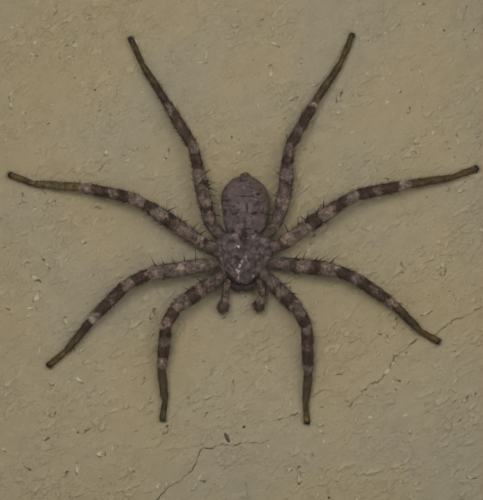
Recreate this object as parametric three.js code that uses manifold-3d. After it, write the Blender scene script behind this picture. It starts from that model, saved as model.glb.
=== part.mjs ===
// A dried flattie spider fixed on a rough plaster panel in a small glazed shadow-box frame.
// Millimetres, +Z up. The frame stands on its bottom rail, and the spider faces -Y, head down.
// The origin is the middle of the footprint, at the height of the bottom rail's underside.
import * as THREE from "three";
import { mergeVertices } from "three/addons/utils/BufferGeometryUtils.js";
import Module from "manifold-3d";

const wasm = await Module();
wasm.setup();

// The frame: outside size, the width of a rail's face, and how deep the wood is
const FRAME_SIDE = 90;
const RAIL_FACE = 12;
const RAIL_DEPTH = 18.8;
const HARDWARE_DEPTH = 1.2; // the hanger stands this far behind the wood
const OVERALL_DEPTH = RAIL_DEPTH + HARDWARE_DEPTH;
const FRAME_FRONT = -OVERALL_DEPTH / 2;
const RAIL_BACK = FRAME_FRONT + RAIL_DEPTH;
const LIP_THICKNESS = 2.5; // wood in front of the glass
const RABBET_INSET = 8; // from the outside to the rabbet's wall
const EASED_EDGE = 0.7; // the outer front edge, sanded over
const SIGHT_BEVEL = 1.4; // the slope that falls to the glass around the window
const MITRE_GAP = 0.05;
const EDGE_SEGMENTS = 3; // of the eased edge's quarter round
const FRAME_MIDDLE = FRAME_SIDE / 2;

// What is stacked in the rabbet, from the glass back
const STACK_GAP = 0.05;
const EDGE_PLAY = 0.3; // sheets are cut this much short of the rabbet's walls
const SHEET_SIDE = FRAME_SIDE - 2 * (RABBET_INSET + EDGE_PLAY);
const GLASS_THICKNESS = 2;
const SPACER_DEPTH = 7;
const SPACER_WIDTH = 3;
const PANEL_THICKNESS = 3;
const BACK_BOARD_THICKNESS = 2;
const GLASS_FRONT = FRAME_FRONT + LIP_THICKNESS;
const SPACER_FRONT = GLASS_FRONT + GLASS_THICKNESS;
const PANEL_FRONT = SPACER_FRONT + SPACER_DEPTH;
const BACK_BOARD_FRONT = PANEL_FRONT + PANEL_THICKNESS;
const BACK_BOARD_BACK = BACK_BOARD_FRONT + BACK_BOARD_THICKNESS;

// Steel points that hold the back board in, and the toothed hanger on the top rail
const POINT = { width: 5, reach: 7, thickness: 0.4 };
const HANGER = { length: 30, height: 6.5, thickness: 0.8, teeth: 7, toothPitch: 2, toothDepth: 1.1 };
const HANGER_HEIGHT = FRAME_SIDE - 6.4;
const NAIL = { headRadius: 1.3, headThickness: 0.4, shankRadius: 0.45, shankLength: 5, spacing: 24 };
const NAIL_CLEARANCE = 0.1; // around the shank and past its end
const NAIL_HOLE_RADIUS = NAIL.shankRadius + NAIL_CLEARANCE;
const NAIL_SIDES = 16;

// The spider's own plane: x across, y up, z out from the panel, from the middle of the window
const BODY_GAP = 0.04; // between the body and what is jointed to it
const BODY_AROUND = 28; // facets around a body part, and from its front to its rear
const BODY_ALONG = 18;
const POLE_RING = 1e-6; // a ring smaller than this is a body part's very end
const SIDE_LINE = 0.2; // what faces up less than this is a body part's side
const FOOT_CLEARANCE = 0.03; // between the claws and the panel
const CEPHALOTHORAX = {
  rear: -0.38,
  front: -5.68,
  middleHeight: 1.25,
  // half widths at even steps from the front edge to the rear edge
  halfWidths: [1.55, 1.7, 2.2, 2.75, 2.88, 2.7, 2.2],
  topRise: 1.05,
  bellyDrop: 0.85,
  frontFullness: 3.4,
  rearFullness: 3.2,
};
const HEAD_RISE = 0.16; // the eye region stands above the flat carapace
const HEAD_MIDDLE = -4.75;
const HEAD_LENGTH = 0.95;
const HEAD_WIDTH = 1.14;
const FOVEA = { y: -1.9, length: 0.75, width: 0.28, depth: 0.22 };
const ABDOMEN = {
  rear: 5.2,
  front: -0.3,
  middleX: 0.17,
  middleHeight: 1.3,
  halfWidths: [2.05, 2.12, 2.2, 2.27, 2.3, 2.15, 1.7],
  topRise: 1.15,
  bellyDrop: 0.95,
  frontFullness: 3.0,
  rearFullness: 2.3,
};
const SPINNERETS = [
  { x: -0.22, z: 1.25, radius: 0.34, length: 0.38 },
  { x: 0.32, z: 1.25, radius: 0.34, length: 0.42 },
  { x: 0.05, z: 0.85, radius: 0.26, length: 0.3 },
];
const SPINNERET_ROOT = 0.25; // how far each starts inside the abdomen
const SPINNERET_TAPER = 0.55;
const SPINNERET_SIDES = 8;
const CHELICERA = { x: 0.65, y: -5.83, z: 1.0, halfSize: [0.62, 0.54, 0.62], around: 14, along: 10 };
const EYES = [
  { x: 0.2, y: -5.42, z: 1.78, radius: 0.13 },
  { x: 0.55, y: -5.32, z: 1.83, radius: 0.15 },
  { x: 0.9, y: -5.17, z: 1.78, radius: 0.1 },
  { x: 1.18, y: -4.85, z: 1.8, radius: 0.19 },
];
// The dab of glue under the body that holds it on the panel
const GLUE = { radius: 1.3, topRadius: 1.1, y: -3.1, height: 0.34, sides: 20 };

// Leg joints from the middle of the window, as [x, y] in the spider's plane:
// hip, then the far ends of trochanter, femur, patella, tibia, metatarsus and tarsus.
// Left and right are those of the window, and pair 1 is next to the head.
const LEG_JOINTS = {
  leg_left_1: [
    [-1.46, -4.04], [-2.5, -5.0], [-6.68, -7.88],
    [-7.65, -9.55], [-8.1, -14.15], [-7.78, -17.2], [-8.06, -19.25],
  ],
  leg_left_2: [
    [-1.7, -3.17], [-3.1, -3.57], [-9.35, -4.5],
    [-11.6, -5.62], [-14.9, -8.88], [-17.6, -12.2], [-19.56, -13.8],
  ],
  leg_left_3: [
    [-1.7, -1.95], [-3.65, -1.73], [-9.33, 2.15],
    [-11.28, 3.1], [-16.1, 4.12], [-20.9, 4.47], [-23.45, 5.42],
  ],
  leg_left_4: [
    [-1.5, -1.15], [-3.2, 0.25], [-4.47, 6.02],
    [-4.95, 8.12], [-7.62, 12.51], [-10.03, 16.33], [-11.3, 19.15],
  ],
  leg_right_1: [
    [1.48, -3.96], [2.38, -4.91], [5.5, -8.08],
    [6.34, -9.75], [6.52, -14.45], [6.23, -17.55], [6.43, -19.55],
  ],
  leg_right_2: [
    [1.9, -3.2], [3.2, -3.43], [9.2, -4.15],
    [11.45, -5.1], [15.0, -7.53], [17.73, -10.27], [19.7, -11.38],
  ],
  leg_right_3: [
    [1.8, -1.85], [3.65, -1.73], [9.6, 2.38],
    [11.35, 3.36], [16.47, 4.38], [20.9, 5.09], [23.5, 6.08],
  ],
  leg_right_4: [
    [1.8, -1.05], [3.25, 0.25], [4.35, 6.35],
    [4.7, 8.25], [7.15, 12.58], [9.75, 16.48], [11.0, 19.52],
  ],
};
const JOINT_HEIGHTS = [1.1, 1.2, 1.75, 1.7, 1.0, 0.5, 0.32]; // of the same joints, above the panel
// Widths of each stretch between two joints: near its start, at its middle and near its end
const LEG_WIDTHS = [
  [1.15, 1.15, 1.15],
  [1.25, 1.45, 1.35],
  [1.15, 1.15, 1.15],
  [1.15, 1.1, 0.98],
  [0.82, 0.78, 0.68],
  [0.56, 0.6, 0.62],
];
const FEMUR = 1; // its place among the stretches
const JOINT_PINCH = 0.84; // a joint is this much narrower than what it joins
const KNUCKLE = 0.3; // how far from a joint a stretch reaches its own width
// The femur has two more rings than the other stretches, at these shares of its length
const FEMUR_SWELL_START = 0.28;
const FEMUR_SWELL_END = 0.75;
// The claw end closes over this length, to these shares of the tarsus's width
const CLAW_ROUNDING = 0.08;
const CLAW_SHOULDER = 0.85;
const CLAW_TIP = 0.4;
const LEG_FLATNESS = 0.88; // height over width
const LEG_SIDES = 10;
const LEG_PAIR_SCALE = { 1: 1.04, 2: 1.03, 3: 1.0, 4: 0.96 };

// How far the middle of a femur bows away from the straight line between its ends
const FEMUR_BOW = { leg_right_4: 0.3, leg_left_4: 0.08 };

// Erect spines along the rear edge of each femur, as shares of its length
const FEMUR_SPINES = [0.2, 0.42, 0.64, 0.84];
// sweep and rise turn a spine towards the claw and away from the panel; it starts inside the femur
const SPINE = { radius: 0.08, length: 1.0, sweep: 0.35, rise: 0.5, rootDepth: 0.36, sides: 4 };

// Pedipalps: joints as [x, y, height], and the width at each
const PALP_JOINTS = {
  pedipalp_left: [
    [-1.22, -5.02, 1.3], [-1.72, -6.1, 1.35], [-1.78, -7.15, 1.15],
    [-1.98, -7.8, 0.95], [-2.12, -8.42, 0.8],
  ],
  pedipalp_right: [
    [1.22, -5.02, 1.3], [1.86, -6.1, 1.35], [1.76, -7.1, 1.15],
    [1.5, -7.65, 0.95], [1.4, -8.25, 0.8],
  ],
};
const PALP_WIDTHS = [0.62, 0.74, 0.88, 1.2, 0.85];
const PALP_SIDES = 10;

const MATERIALS = {
  wood: { color: 0x4a2f1e, roughness: 0.5, metalness: 0 },
  glass: { color: 0xe8efec, roughness: 0.05, metalness: 0 },
  spacer: { color: 0x2a211b, roughness: 0.7, metalness: 0 },
  plaster: { color: 0x938668, roughness: 0.95, metalness: 0 },
  hardboard: { color: 0x6d4c33, roughness: 0.8, metalness: 0 },
  steel: { color: 0xa9a9a6, roughness: 0.35, metalness: 1 },
  glue: { color: 0xb8aa86, roughness: 0.3, metalness: 0 },
  body: { color: 0x5a4d4c, roughness: 0.75, metalness: 0 },
  leg: { color: 0x64564e, roughness: 0.7, metalness: 0 },
};
const materials = Object.fromEntries(
  Object.entries(MATERIALS).map(([name, values]) => [name, new THREE.MeshStandardMaterial(values)]),
);

// A named mesh of one of the materials
function piece(name, geometry, materialName) {
  const mesh = new THREE.Mesh(geometry, materials[materialName]);
  mesh.name = name;
  return mesh;
}

// Solids that can be joined and cut, and the way back to a geometry
function solidOf(geometry) {
  const bare = geometry.clone();
  bare.deleteAttribute("normal");
  bare.deleteAttribute("uv");
  const merged = mergeVertices(bare, 1e-4);
  return new wasm.Manifold(
    new wasm.Mesh({
      numProp: 3,
      vertProperties: merged.attributes.position.array,
      triVerts: new Uint32Array(merged.index.array),
    }),
  );
}

function geometryOf(solid) {
  const mesh = solid.getMesh();
  const geometry = new THREE.BufferGeometry();
  geometry.setAttribute("position", new THREE.BufferAttribute(mesh.vertProperties, 3));
  geometry.setIndex(new THREE.BufferAttribute(mesh.triVerts, 1));
  geometry.computeVertexNormals();
  return geometry;
}

// Moves every vertex of a geometry to where place(x, y, z) says
function reshape(geometry, place) {
  const at = geometry.attributes.position;
  for (let i = 0; i < at.count; i++) {
    at.setXYZ(i, ...place(at.getX(i), at.getY(i), at.getZ(i)));
  }
  geometry.computeVertexNormals();
  return geometry;
}

// A box given by its lowest and highest corners
function boxBetween(low, high) {
  const size = high.map((value, k) => value - low[k]);
  const middle = high.map((value, k) => (value + low[k]) / 2);
  return new THREE.BoxGeometry(...size).translate(...middle);
}

// The bottom rail: an L-shaped moulding whose ends are mitred at 45 degrees.
// The profile runs inward from the outside edge and back from the front face.
function railGeometry() {
  const profile = new THREE.Shape();
  profile.moveTo(0, RAIL_BACK);
  profile.lineTo(RABBET_INSET, RAIL_BACK);
  profile.lineTo(RABBET_INSET, GLASS_FRONT - STACK_GAP);
  profile.lineTo(RAIL_FACE, GLASS_FRONT - STACK_GAP);
  profile.lineTo(RAIL_FACE, FRAME_FRONT + SIGHT_BEVEL);
  profile.lineTo(RAIL_FACE - SIGHT_BEVEL, FRAME_FRONT);
  profile.absarc(EASED_EDGE, FRAME_FRONT + EASED_EDGE, EASED_EDGE, 1.5 * Math.PI, Math.PI, true);
  profile.closePath();
  const prism = new THREE.ExtrudeGeometry(profile, {
    depth: 1,
    bevelEnabled: false,
    curveSegments: EDGE_SEGMENTS,
  });
  const halfLength = (inset) => FRAME_SIDE / 2 - inset - MITRE_GAP;
  return reshape(prism, (inset, depth, along) => [(1 - 2 * along) * halfLength(inset), depth, inset]);
}

// A rail turned about the middle of the window to its own side
function railOnSide(name, quarterTurns) {
  const rail = piece(name, railGeometry(), "wood");
  rail.geometry.translate(0, 0, -FRAME_MIDDLE);
  rail.geometry.rotateY((quarterTurns * Math.PI) / 2);
  rail.geometry.translate(0, 0, FRAME_MIDDLE);
  return rail;
}

function nailPositions() {
  return [-1, 1].map((side) => ({ side, x: (side * NAIL.spacing) / 2 }));
}

function yCylinder(radius, front, back, x, z) {
  const cylinder = new THREE.CylinderGeometry(radius, radius, back - front, NAIL_SIDES);
  return cylinder.translate(x, (front + back) / 2, z);
}

function frameRails() {
  const rails = {
    frame_rail_bottom: 0,
    frame_rail_left: 1,
    frame_rail_top: 2,
    frame_rail_right: 3,
  };
  const meshes = Object.entries(rails).map(([name, turns]) => railOnSide(name, turns));
  const top = meshes.find((mesh) => mesh.name === "frame_rail_top");
  let wood = solidOf(top.geometry);
  for (const { x } of nailPositions()) {
    const holeEnd = RAIL_BACK - NAIL.shankLength - NAIL_CLEARANCE;
    const drill = yCylinder(NAIL_HOLE_RADIUS, holeEnd, RAIL_BACK + HARDWARE_DEPTH, x, HANGER_HEIGHT);
    wood = wood.subtract(solidOf(drill));
  }
  top.geometry = geometryOf(wood);
  return meshes;
}

// A sheet that fills the rabbet, between two depths
function sheet(name, front, back, materialName) {
  const half = SHEET_SIDE / 2;
  const low = [-half, front + STACK_GAP / 2, FRAME_MIDDLE - half];
  const high = [half, back - STACK_GAP / 2, FRAME_MIDDLE + half];
  return piece(name, boxBetween(low, high), materialName);
}

// Strips around the inside that hold the glass off the panel
function spacers() {
  const outer = SHEET_SIDE / 2;
  const inner = outer - SPACER_WIDTH;
  const front = SPACER_FRONT + STACK_GAP / 2;
  const back = PANEL_FRONT - STACK_GAP / 2;
  const strip = (name, x0, x1, z0, z1) =>
    piece(name, boxBetween([x0, front, FRAME_MIDDLE + z0], [x1, back, FRAME_MIDDLE + z1]), "spacer");
  const short = inner - STACK_GAP;
  return [
    strip("spacer_bottom", -outer, outer, -outer, -inner),
    strip("spacer_top", -outer, outer, inner, outer),
    strip("spacer_left", -outer, -inner, -short, short),
    strip("spacer_right", inner, outer, -short, short),
  ];
}

// One flat steel point in the middle of each side, lying on the back board
function steelPoints() {
  const wall = FRAME_SIDE / 2 - RABBET_INSET - STACK_GAP;
  const front = BACK_BOARD_BACK + STACK_GAP;
  const low = [-POINT.width / 2, front, -wall];
  const high = [POINT.width / 2, front + POINT.thickness, POINT.reach - wall];
  const blade = (name, turns) => {
    const flat = boxBetween(low, high).rotateY((turns * Math.PI) / 2);
    return piece(name, flat.translate(0, 0, FRAME_MIDDLE), "steel");
  };
  return [
    blade("steel_point_bottom", 0),
    blade("steel_point_left", 1),
    blade("steel_point_top", 2),
    blade("steel_point_right", 3),
  ];
}

// The hanger: a flat steel plate with a row of teeth along its lower edge, and its two nails
function hangerPieces() {
  const halfLength = HANGER.length / 2;
  const halfHeight = HANGER.height / 2;
  const toothRun = (HANGER.teeth * HANGER.toothPitch) / 2;
  const outline = new THREE.Shape();
  outline.moveTo(-halfLength, -halfHeight);
  outline.lineTo(-toothRun, -halfHeight);
  for (let tooth = 0; tooth < HANGER.teeth; tooth++) {
    const start = -toothRun + tooth * HANGER.toothPitch;
    outline.lineTo(start + HANGER.toothPitch / 2, -halfHeight + HANGER.toothDepth);
    outline.lineTo(start + HANGER.toothPitch, -halfHeight);
  }
  outline.lineTo(halfLength, -halfHeight);
  outline.lineTo(halfLength, halfHeight);
  outline.lineTo(-halfLength, halfHeight);
  outline.closePath();
  for (const { x } of nailPositions()) {
    outline.holes.push(new THREE.Path().absarc(x, 0, NAIL_HOLE_RADIUS, 0, 2 * Math.PI, true));
  }
  const front = RAIL_BACK + STACK_GAP / 2;
  const plate = new THREE.ExtrudeGeometry(outline, {
    depth: HANGER.thickness - STACK_GAP,
    bevelEnabled: false,
    curveSegments: NAIL_SIDES,
  });
  plate.rotateX(Math.PI / 2).translate(0, front + HANGER.thickness - STACK_GAP, HANGER_HEIGHT);
  const nails = nailPositions().map(({ side, x }) => {
    const headFront = RAIL_BACK + HANGER.thickness;
    const headBack = headFront + NAIL.headThickness;
    const shankEnd = RAIL_BACK - NAIL.shankLength;
    const shank = solidOf(yCylinder(NAIL.shankRadius, shankEnd, headBack, x, HANGER_HEIGHT));
    const head = solidOf(yCylinder(NAIL.headRadius, headFront, headBack, x, HANGER_HEIGHT));
    return piece(side < 0 ? "hanger_nail_left" : "hanger_nail_right", geometryOf(shank.add(head)), "steel");
  });
  return [piece("hanger_plate", plate, "steel"), ...nails];
}

// A curve through values at even steps, read at a share from 0 to 1
function smoothValue(values, share) {
  const step = 1 / (values.length - 1);
  const curve = new THREE.SplineCurve(values.map((value, k) => new THREE.Vector2(k * step, value)));
  return curve.getPoint(share).y;
}

// A rounded body part from its half widths, blunt at both ends. margin swells it where something is
// to be cut to fit it, and lift(x, y) raises or lowers its upper side.
function bodyPartGeometry(part, { margin = 0, lift = () => 0 } = {}) {
  const middle = (part.rear + part.front) / 2;
  const half = (part.rear - part.front) / 2;
  return reshape(new THREE.SphereGeometry(1, BODY_AROUND, BODY_ALONG), (x, y, z) => {
    const ring = Math.hypot(x, z);
    const alongBody = middle + y * (half + margin);
    if (ring < POLE_RING) return [part.middleX ?? 0, alongBody, part.middleHeight];
    const sideways = x / ring;
    const upward = z / ring;
    const power = y < 0 ? part.frontFullness : part.rearFullness;
    const fullness = Math.pow(1 - Math.pow(Math.abs(y), power), 1 / power);
    const halfWidth = smoothValue(part.halfWidths, (y + 1) / 2) * fullness + margin;
    const reach = (upward > 0 ? part.topRise : part.bellyDrop) * Math.sqrt(fullness) + margin;
    const acrossBody = (part.middleX ?? 0) + sideways * halfWidth;
    const raised = upward > SIDE_LINE ? lift(acrossBody, alongBody) : 0;
    return [acrossBody, alongBody, part.middleHeight + upward * reach + raised];
  });
}

// The carapace's raised head region and the groove behind it
function carapaceLift(x, y) {
  const head = HEAD_RISE * Math.exp(-(((y - HEAD_MIDDLE) / HEAD_LENGTH) ** 2) - (x / HEAD_WIDTH) ** 2);
  const groove = Math.exp(-(((y - FOVEA.y) / FOVEA.length) ** 2) - (x / FOVEA.width) ** 2);
  return head - FOVEA.depth * groove;
}

function cephalothorax() {
  let solid = solidOf(bodyPartGeometry(CEPHALOTHORAX, { lift: carapaceLift }));
  for (const eye of EYES) {
    for (const side of [-1, 1]) {
      const ball = new THREE.IcosahedronGeometry(eye.radius, 1).translate(side * eye.x, eye.y, eye.z);
      solid = solid.add(solidOf(ball));
    }
  }
  return piece("cephalothorax", geometryOf(solid), "body");
}

// The abdomen, with its spinnerets at the rear end
function abdomen() {
  let solid = solidOf(bodyPartGeometry(ABDOMEN));
  for (const { x, z, radius, length } of SPINNERETS) {
    const whole = length + SPINNERET_ROOT;
    const cone = new THREE.CylinderGeometry(radius * SPINNERET_TAPER, radius, whole, SPINNERET_SIDES);
    cone.translate(ABDOMEN.middleX + x, ABDOMEN.rear + length - whole / 2, z);
    solid = solid.add(solidOf(cone));
  }
  return piece("abdomen", geometryOf(solid), "body");
}

// What is left of a limb once room is cut in it for the body
function cutToBody(limb) {
  const room = solidOf(bodyPartGeometry(CEPHALOTHORAX, { margin: BODY_GAP }));
  const behind = solidOf(bodyPartGeometry(ABDOMEN, { margin: BODY_GAP }));
  const parts = limb.subtract(room).subtract(behind).decompose();
  return parts.sort((a, b) => b.volume() - a.volume())[0];
}

// A tube of elliptical rings along a line of points, each {at, width, height, along}
function ringTube(rings, sides) {
  const up = new THREE.Vector3(0, 0, 1);
  const last = rings.length - 1;
  const tube = new THREE.CylinderGeometry(1, 1, last, sides, last);
  return reshape(tube, (x, y, z) => {
    const ring = rings[Math.round(last / 2 - y)];
    const side = new THREE.Vector3().crossVectors(up, ring.along).normalize();
    const top = new THREE.Vector3().crossVectors(ring.along, side).normalize();
    return ring.at
      .clone()
      .addScaledVector(side, (x * ring.width) / 2)
      .addScaledVector(top, (z * ring.height) / 2)
      .toArray();
  });
}

// The line down the middle of each stretch of a leg: its length, its direction, and the point at a distance
function legStretches(name) {
  const height = (k) => JOINT_HEIGHTS[k] + FOOT_CLEARANCE;
  const joints = LEG_JOINTS[name].map(([x, y], k) => new THREE.Vector3(x, y, height(k)));
  const outward = new THREE.Vector3(Math.sign(joints[1].x), 0, 0);
  return LEG_WIDTHS.map((widths, k) => {
    const start = joints[k];
    const length = start.distanceTo(joints[k + 1]);
    const along = joints[k + 1].clone().sub(start).normalize();
    const bow = k === FEMUR ? (FEMUR_BOW[name] ?? 0) : 0;
    const at = (distance) =>
      start
        .clone()
        .addScaledVector(along, distance)
        .addScaledVector(outward, bow * Math.sin((Math.PI * distance) / length));
    return { widths, length, along, at };
  });
}

// The rings of a leg from hip to claw, narrow at each joint
function legRings(stretches, scale) {
  const rings = [];
  const addRing = (at, width, along) =>
    rings.push({ at, width: width * scale, height: width * scale * LEG_FLATNESS, along });
  stretches.forEach(({ widths: [first, middle, last], length, along, at }, k) => {
    const before = stretches[Math.max(k - 1, 0)];
    const jointWidth = Math.min(first, before.widths[2]) * JOINT_PINCH;
    addRing(at(0), jointWidth, before.along.clone().add(along).normalize());
    addRing(at(KNUCKLE), first, along);
    if (k === FEMUR) addRing(at(length * FEMUR_SWELL_START), (first + middle) / 2, along);
    addRing(at(length / 2), middle, along);
    if (k === FEMUR) addRing(at(length * FEMUR_SWELL_END), (middle + last) / 2, along);
    addRing(at(length - KNUCKLE), last, along);
  });
  const tarsus = stretches.at(-1);
  const tipWidth = tarsus.widths[2];
  addRing(tarsus.at(tarsus.length - CLAW_ROUNDING), tipWidth * CLAW_SHOULDER, tarsus.along);
  addRing(tarsus.at(tarsus.length), tipWidth * CLAW_TIP, tarsus.along);
  return rings;
}

// A thin cone rooted in a leg that leans to the rear and towards the claw
function spineOn(root, along, width, rearward) {
  const lean = new THREE.Vector3(-along.y * rearward, along.x * rearward, SPINE.rise)
    .addScaledVector(along, SPINE.sweep)
    .normalize();
  const cone = new THREE.ConeGeometry(SPINE.radius, SPINE.length, SPINE.sides);
  cone.applyQuaternion(new THREE.Quaternion().setFromUnitVectors(new THREE.Vector3(0, 1, 0), lean));
  const middle = root.clone().addScaledVector(lean, width * SPINE.rootDepth + SPINE.length / 2);
  return cone.translate(...middle.toArray());
}

function leg(name) {
  const [, side, pair] = name.split("_");
  const scale = LEG_PAIR_SCALE[pair];
  const stretches = legStretches(name);
  let solid = cutToBody(solidOf(ringTube(legRings(stretches, scale), LEG_SIDES)));
  const femur = stretches[FEMUR];
  const rearward = side === "left" ? -1 : 1;
  for (const share of FEMUR_SPINES) {
    const root = femur.at(femur.length * share);
    solid = solid.add(solidOf(spineOn(root, femur.along, femur.widths[1] * scale, rearward)));
  }
  return piece(name, geometryOf(solid), "leg");
}

function pedipalp(name) {
  const points = PALP_JOINTS[name].map((joint) => new THREE.Vector3(...joint));
  const rings = [];
  points.forEach((at, k) => {
    const before = points[Math.max(k - 1, 0)];
    const after = points[Math.min(k + 1, points.length - 1)];
    const along = after.clone().sub(before).normalize();
    rings.push({ at, width: PALP_WIDTHS[k], height: PALP_WIDTHS[k] * LEG_FLATNESS, along });
    if (k < points.length - 2) {
      const middle = at.clone().lerp(points[k + 1], 0.5);
      const width = (PALP_WIDTHS[k] + PALP_WIDTHS[k + 1]) / 2;
      rings.push({ at: middle, width, height: width * LEG_FLATNESS, along: after.clone().sub(at).normalize() });
    }
  });
  return piece(name, geometryOf(cutToBody(solidOf(ringTube(rings, PALP_SIDES)))), "leg");
}

// The dab of glue between the body's underside and the panel
function glueDab() {
  const dab = new THREE.CylinderGeometry(GLUE.topRadius, GLUE.radius, GLUE.height, GLUE.sides);
  dab.rotateX(Math.PI / 2).translate(0, GLUE.y, FOOT_CLEARANCE + GLUE.height / 2);
  return piece("glue_dab", dab, "glue");
}

function chelicera(side) {
  const [halfX, halfY, halfZ] = CHELICERA.halfSize;
  const egg = new THREE.SphereGeometry(1, CHELICERA.around, CHELICERA.along);
  egg.scale(halfX - BODY_GAP / 2, halfY, halfZ);
  egg.translate(side * CHELICERA.x, CHELICERA.y, CHELICERA.z);
  const jaw = geometryOf(cutToBody(solidOf(egg)));
  return piece(side < 0 ? "chelicera_left" : "chelicera_right", jaw, "body");
}

// The spider is built lying in its own plane, then stood up against the panel
function spider() {
  const group = new THREE.Group();
  group.add(glueDab(), cephalothorax(), abdomen(), chelicera(-1), chelicera(1));
  group.add(pedipalp("pedipalp_left"), pedipalp("pedipalp_right"));
  group.add(...Object.keys(LEG_JOINTS).map(leg));
  group.rotation.x = Math.PI / 2;
  group.position.set(0, PANEL_FRONT, FRAME_MIDDLE);
  return group;
}

const specimen = new THREE.Group();
specimen.add(...frameRails());
specimen.add(sheet("glass_pane", GLASS_FRONT, SPACER_FRONT, "glass"));
specimen.add(...spacers());
specimen.add(sheet("mount_panel", PANEL_FRONT, BACK_BOARD_FRONT, "plaster"));
specimen.add(sheet("back_board", BACK_BOARD_FRONT, BACK_BOARD_BACK, "hardboard"));
specimen.add(...steelPoints());
specimen.add(...hangerPieces());
specimen.add(spider());

export default specimen;
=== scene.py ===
"""A dried flattie spider on a rough plaster panel, in a small glazed walnut box frame.

The frame stands on its bottom rail, +Z up, and the spider faces -Y with its head down.
Meshes are worked out in millimetres and brought to metres when they are finished.
"""
import math

import bmesh
import bpy
import numpy as np
from mathutils import Matrix, Vector, noise


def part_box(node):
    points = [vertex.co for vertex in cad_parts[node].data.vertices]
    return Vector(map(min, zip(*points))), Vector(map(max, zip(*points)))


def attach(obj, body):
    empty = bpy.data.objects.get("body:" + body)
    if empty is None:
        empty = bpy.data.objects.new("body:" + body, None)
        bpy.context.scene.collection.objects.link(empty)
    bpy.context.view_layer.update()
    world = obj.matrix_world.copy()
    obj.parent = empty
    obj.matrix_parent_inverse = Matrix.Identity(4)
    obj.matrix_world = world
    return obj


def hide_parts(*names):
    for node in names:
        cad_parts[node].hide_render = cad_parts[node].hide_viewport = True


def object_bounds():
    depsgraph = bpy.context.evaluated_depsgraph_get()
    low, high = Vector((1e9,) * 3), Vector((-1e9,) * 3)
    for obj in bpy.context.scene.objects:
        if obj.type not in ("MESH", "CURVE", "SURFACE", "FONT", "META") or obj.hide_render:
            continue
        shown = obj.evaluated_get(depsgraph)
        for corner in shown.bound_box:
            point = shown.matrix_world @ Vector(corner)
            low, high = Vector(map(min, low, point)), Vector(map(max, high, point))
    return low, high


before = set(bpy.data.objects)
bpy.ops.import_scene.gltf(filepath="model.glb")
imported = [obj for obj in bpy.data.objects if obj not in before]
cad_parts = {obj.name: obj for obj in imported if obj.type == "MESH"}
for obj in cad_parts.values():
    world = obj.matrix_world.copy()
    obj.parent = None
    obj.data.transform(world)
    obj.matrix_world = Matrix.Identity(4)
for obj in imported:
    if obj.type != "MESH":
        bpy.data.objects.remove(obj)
cad_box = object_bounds()


# The view: square on to the panel from far off, so that 50 mm of it fills the picture's height.
# The window's middle lies a little above and to the right of the picture's middle.
MM = 0.001
STACK_GAP = 0.05
panel_low, panel_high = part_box("mount_panel")
BACKING = panel_low.y / MM - STACK_GAP / 2  # the plane that the spider lies on
MIDDLE = (panel_low.z + panel_high.z) / 2 / MM
PICTURE_HEIGHT = 50.0
PICTURE_MIDDLE = (-0.15, -2.15)  # across and up from the window's middle
CAMERA_DISTANCE = 300.0

camera_data = bpy.data.cameras.new("camera")
camera_data.lens = camera_data.sensor_width * CAMERA_DISTANCE / PICTURE_HEIGHT
camera = bpy.data.objects.new("camera", camera_data)
camera_place = (PICTURE_MIDDLE[0], BACKING - CAMERA_DISTANCE, MIDDLE + PICTURE_MIDDLE[1])
camera.location = Vector(camera_place) * MM
camera.rotation_euler = (math.pi / 2, 0, 0)
bpy.context.scene.collection.objects.link(camera)
bpy.context.scene.camera = camera


# The studio: a pale floor, an even grey surround and three soft lights: the main one in front on
# the left, a weaker one in front on the right, and one behind for the views from there.
# A light's share is how much of full white it brings to a white surface that faces it.
FLOOR_RADIUS = 4.0
SURROUND = 0.44
LIGHTS = {
    # name: azimuth from the front (left is negative), elevation, distance in m, size in m, share
    "key": (-14, 22, 0.75, 0.26, 0.42),
    "fill": (30, 14, 0.9, 0.5, 0.29),
    "rear": (160, 35, 1.0, 0.5, 0.4),
}


def linear(red, green, blue):
    """A colour given in 0 to 255 as a screen shows it, in the renderer's own linear numbers."""
    shares = [value / 255 for value in (red, green, blue)]
    return (*(s / 12.92 if s <= 0.04045 else ((s + 0.055) / 1.055) ** 2.4 for s in shares), 1.0)


def finish(name, roughness, **values):
    """A new material, its node tree and its Principled shader."""
    material = bpy.data.materials.new(name)
    material.use_nodes = True
    tree = material.node_tree
    shader = tree.nodes["Principled BSDF"]
    shader.inputs["Roughness"].default_value = roughness
    for socket, value in values.items():
        shader.inputs[socket.replace("_", " ")].default_value = value
    return material, tree, shader


world = bpy.data.worlds.new("surround")
world.use_nodes = True
world.node_tree.nodes["Background"].inputs["Color"].default_value = (SURROUND,) * 3 + (1,)
bpy.context.scene.world = world
bpy.context.scene.view_settings.view_transform = "Standard"

for light_name, (azimuth, elevation, distance, size, share) in LIGHTS.items():
    lamp = bpy.data.lights.new(light_name, "AREA")
    lamp.size = size
    lamp.energy = share * (math.pi * distance) ** 2
    lamp_object = bpy.data.objects.new(light_name, lamp)
    turn = math.radians(azimuth)
    rise = math.radians(elevation)
    away = Vector((math.sin(turn) * math.cos(rise), -math.cos(turn) * math.cos(rise), math.sin(rise)))
    lamp_object.location = Vector((0, 0, MIDDLE * MM)) + away * distance
    lamp_object.rotation_euler = away.to_track_quat("Z", "Y").to_euler()
    bpy.context.scene.collection.objects.link(lamp_object)

floor_mesh = bpy.data.meshes.new("floor")
floor_shape = bmesh.new()
bmesh.ops.create_circle(floor_shape, cap_ends=True, segments=96, radius=FLOOR_RADIUS)
floor_shape.to_mesh(floor_mesh)
floor_shape.free()
floor = bpy.data.objects.new("floor", floor_mesh)
floor_finish, _, _ = finish("floor", 0.7, Base_Color=linear(214, 212, 208))
floor_mesh.materials.append(floor_finish)
bpy.context.scene.collection.objects.link(floor)


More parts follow.
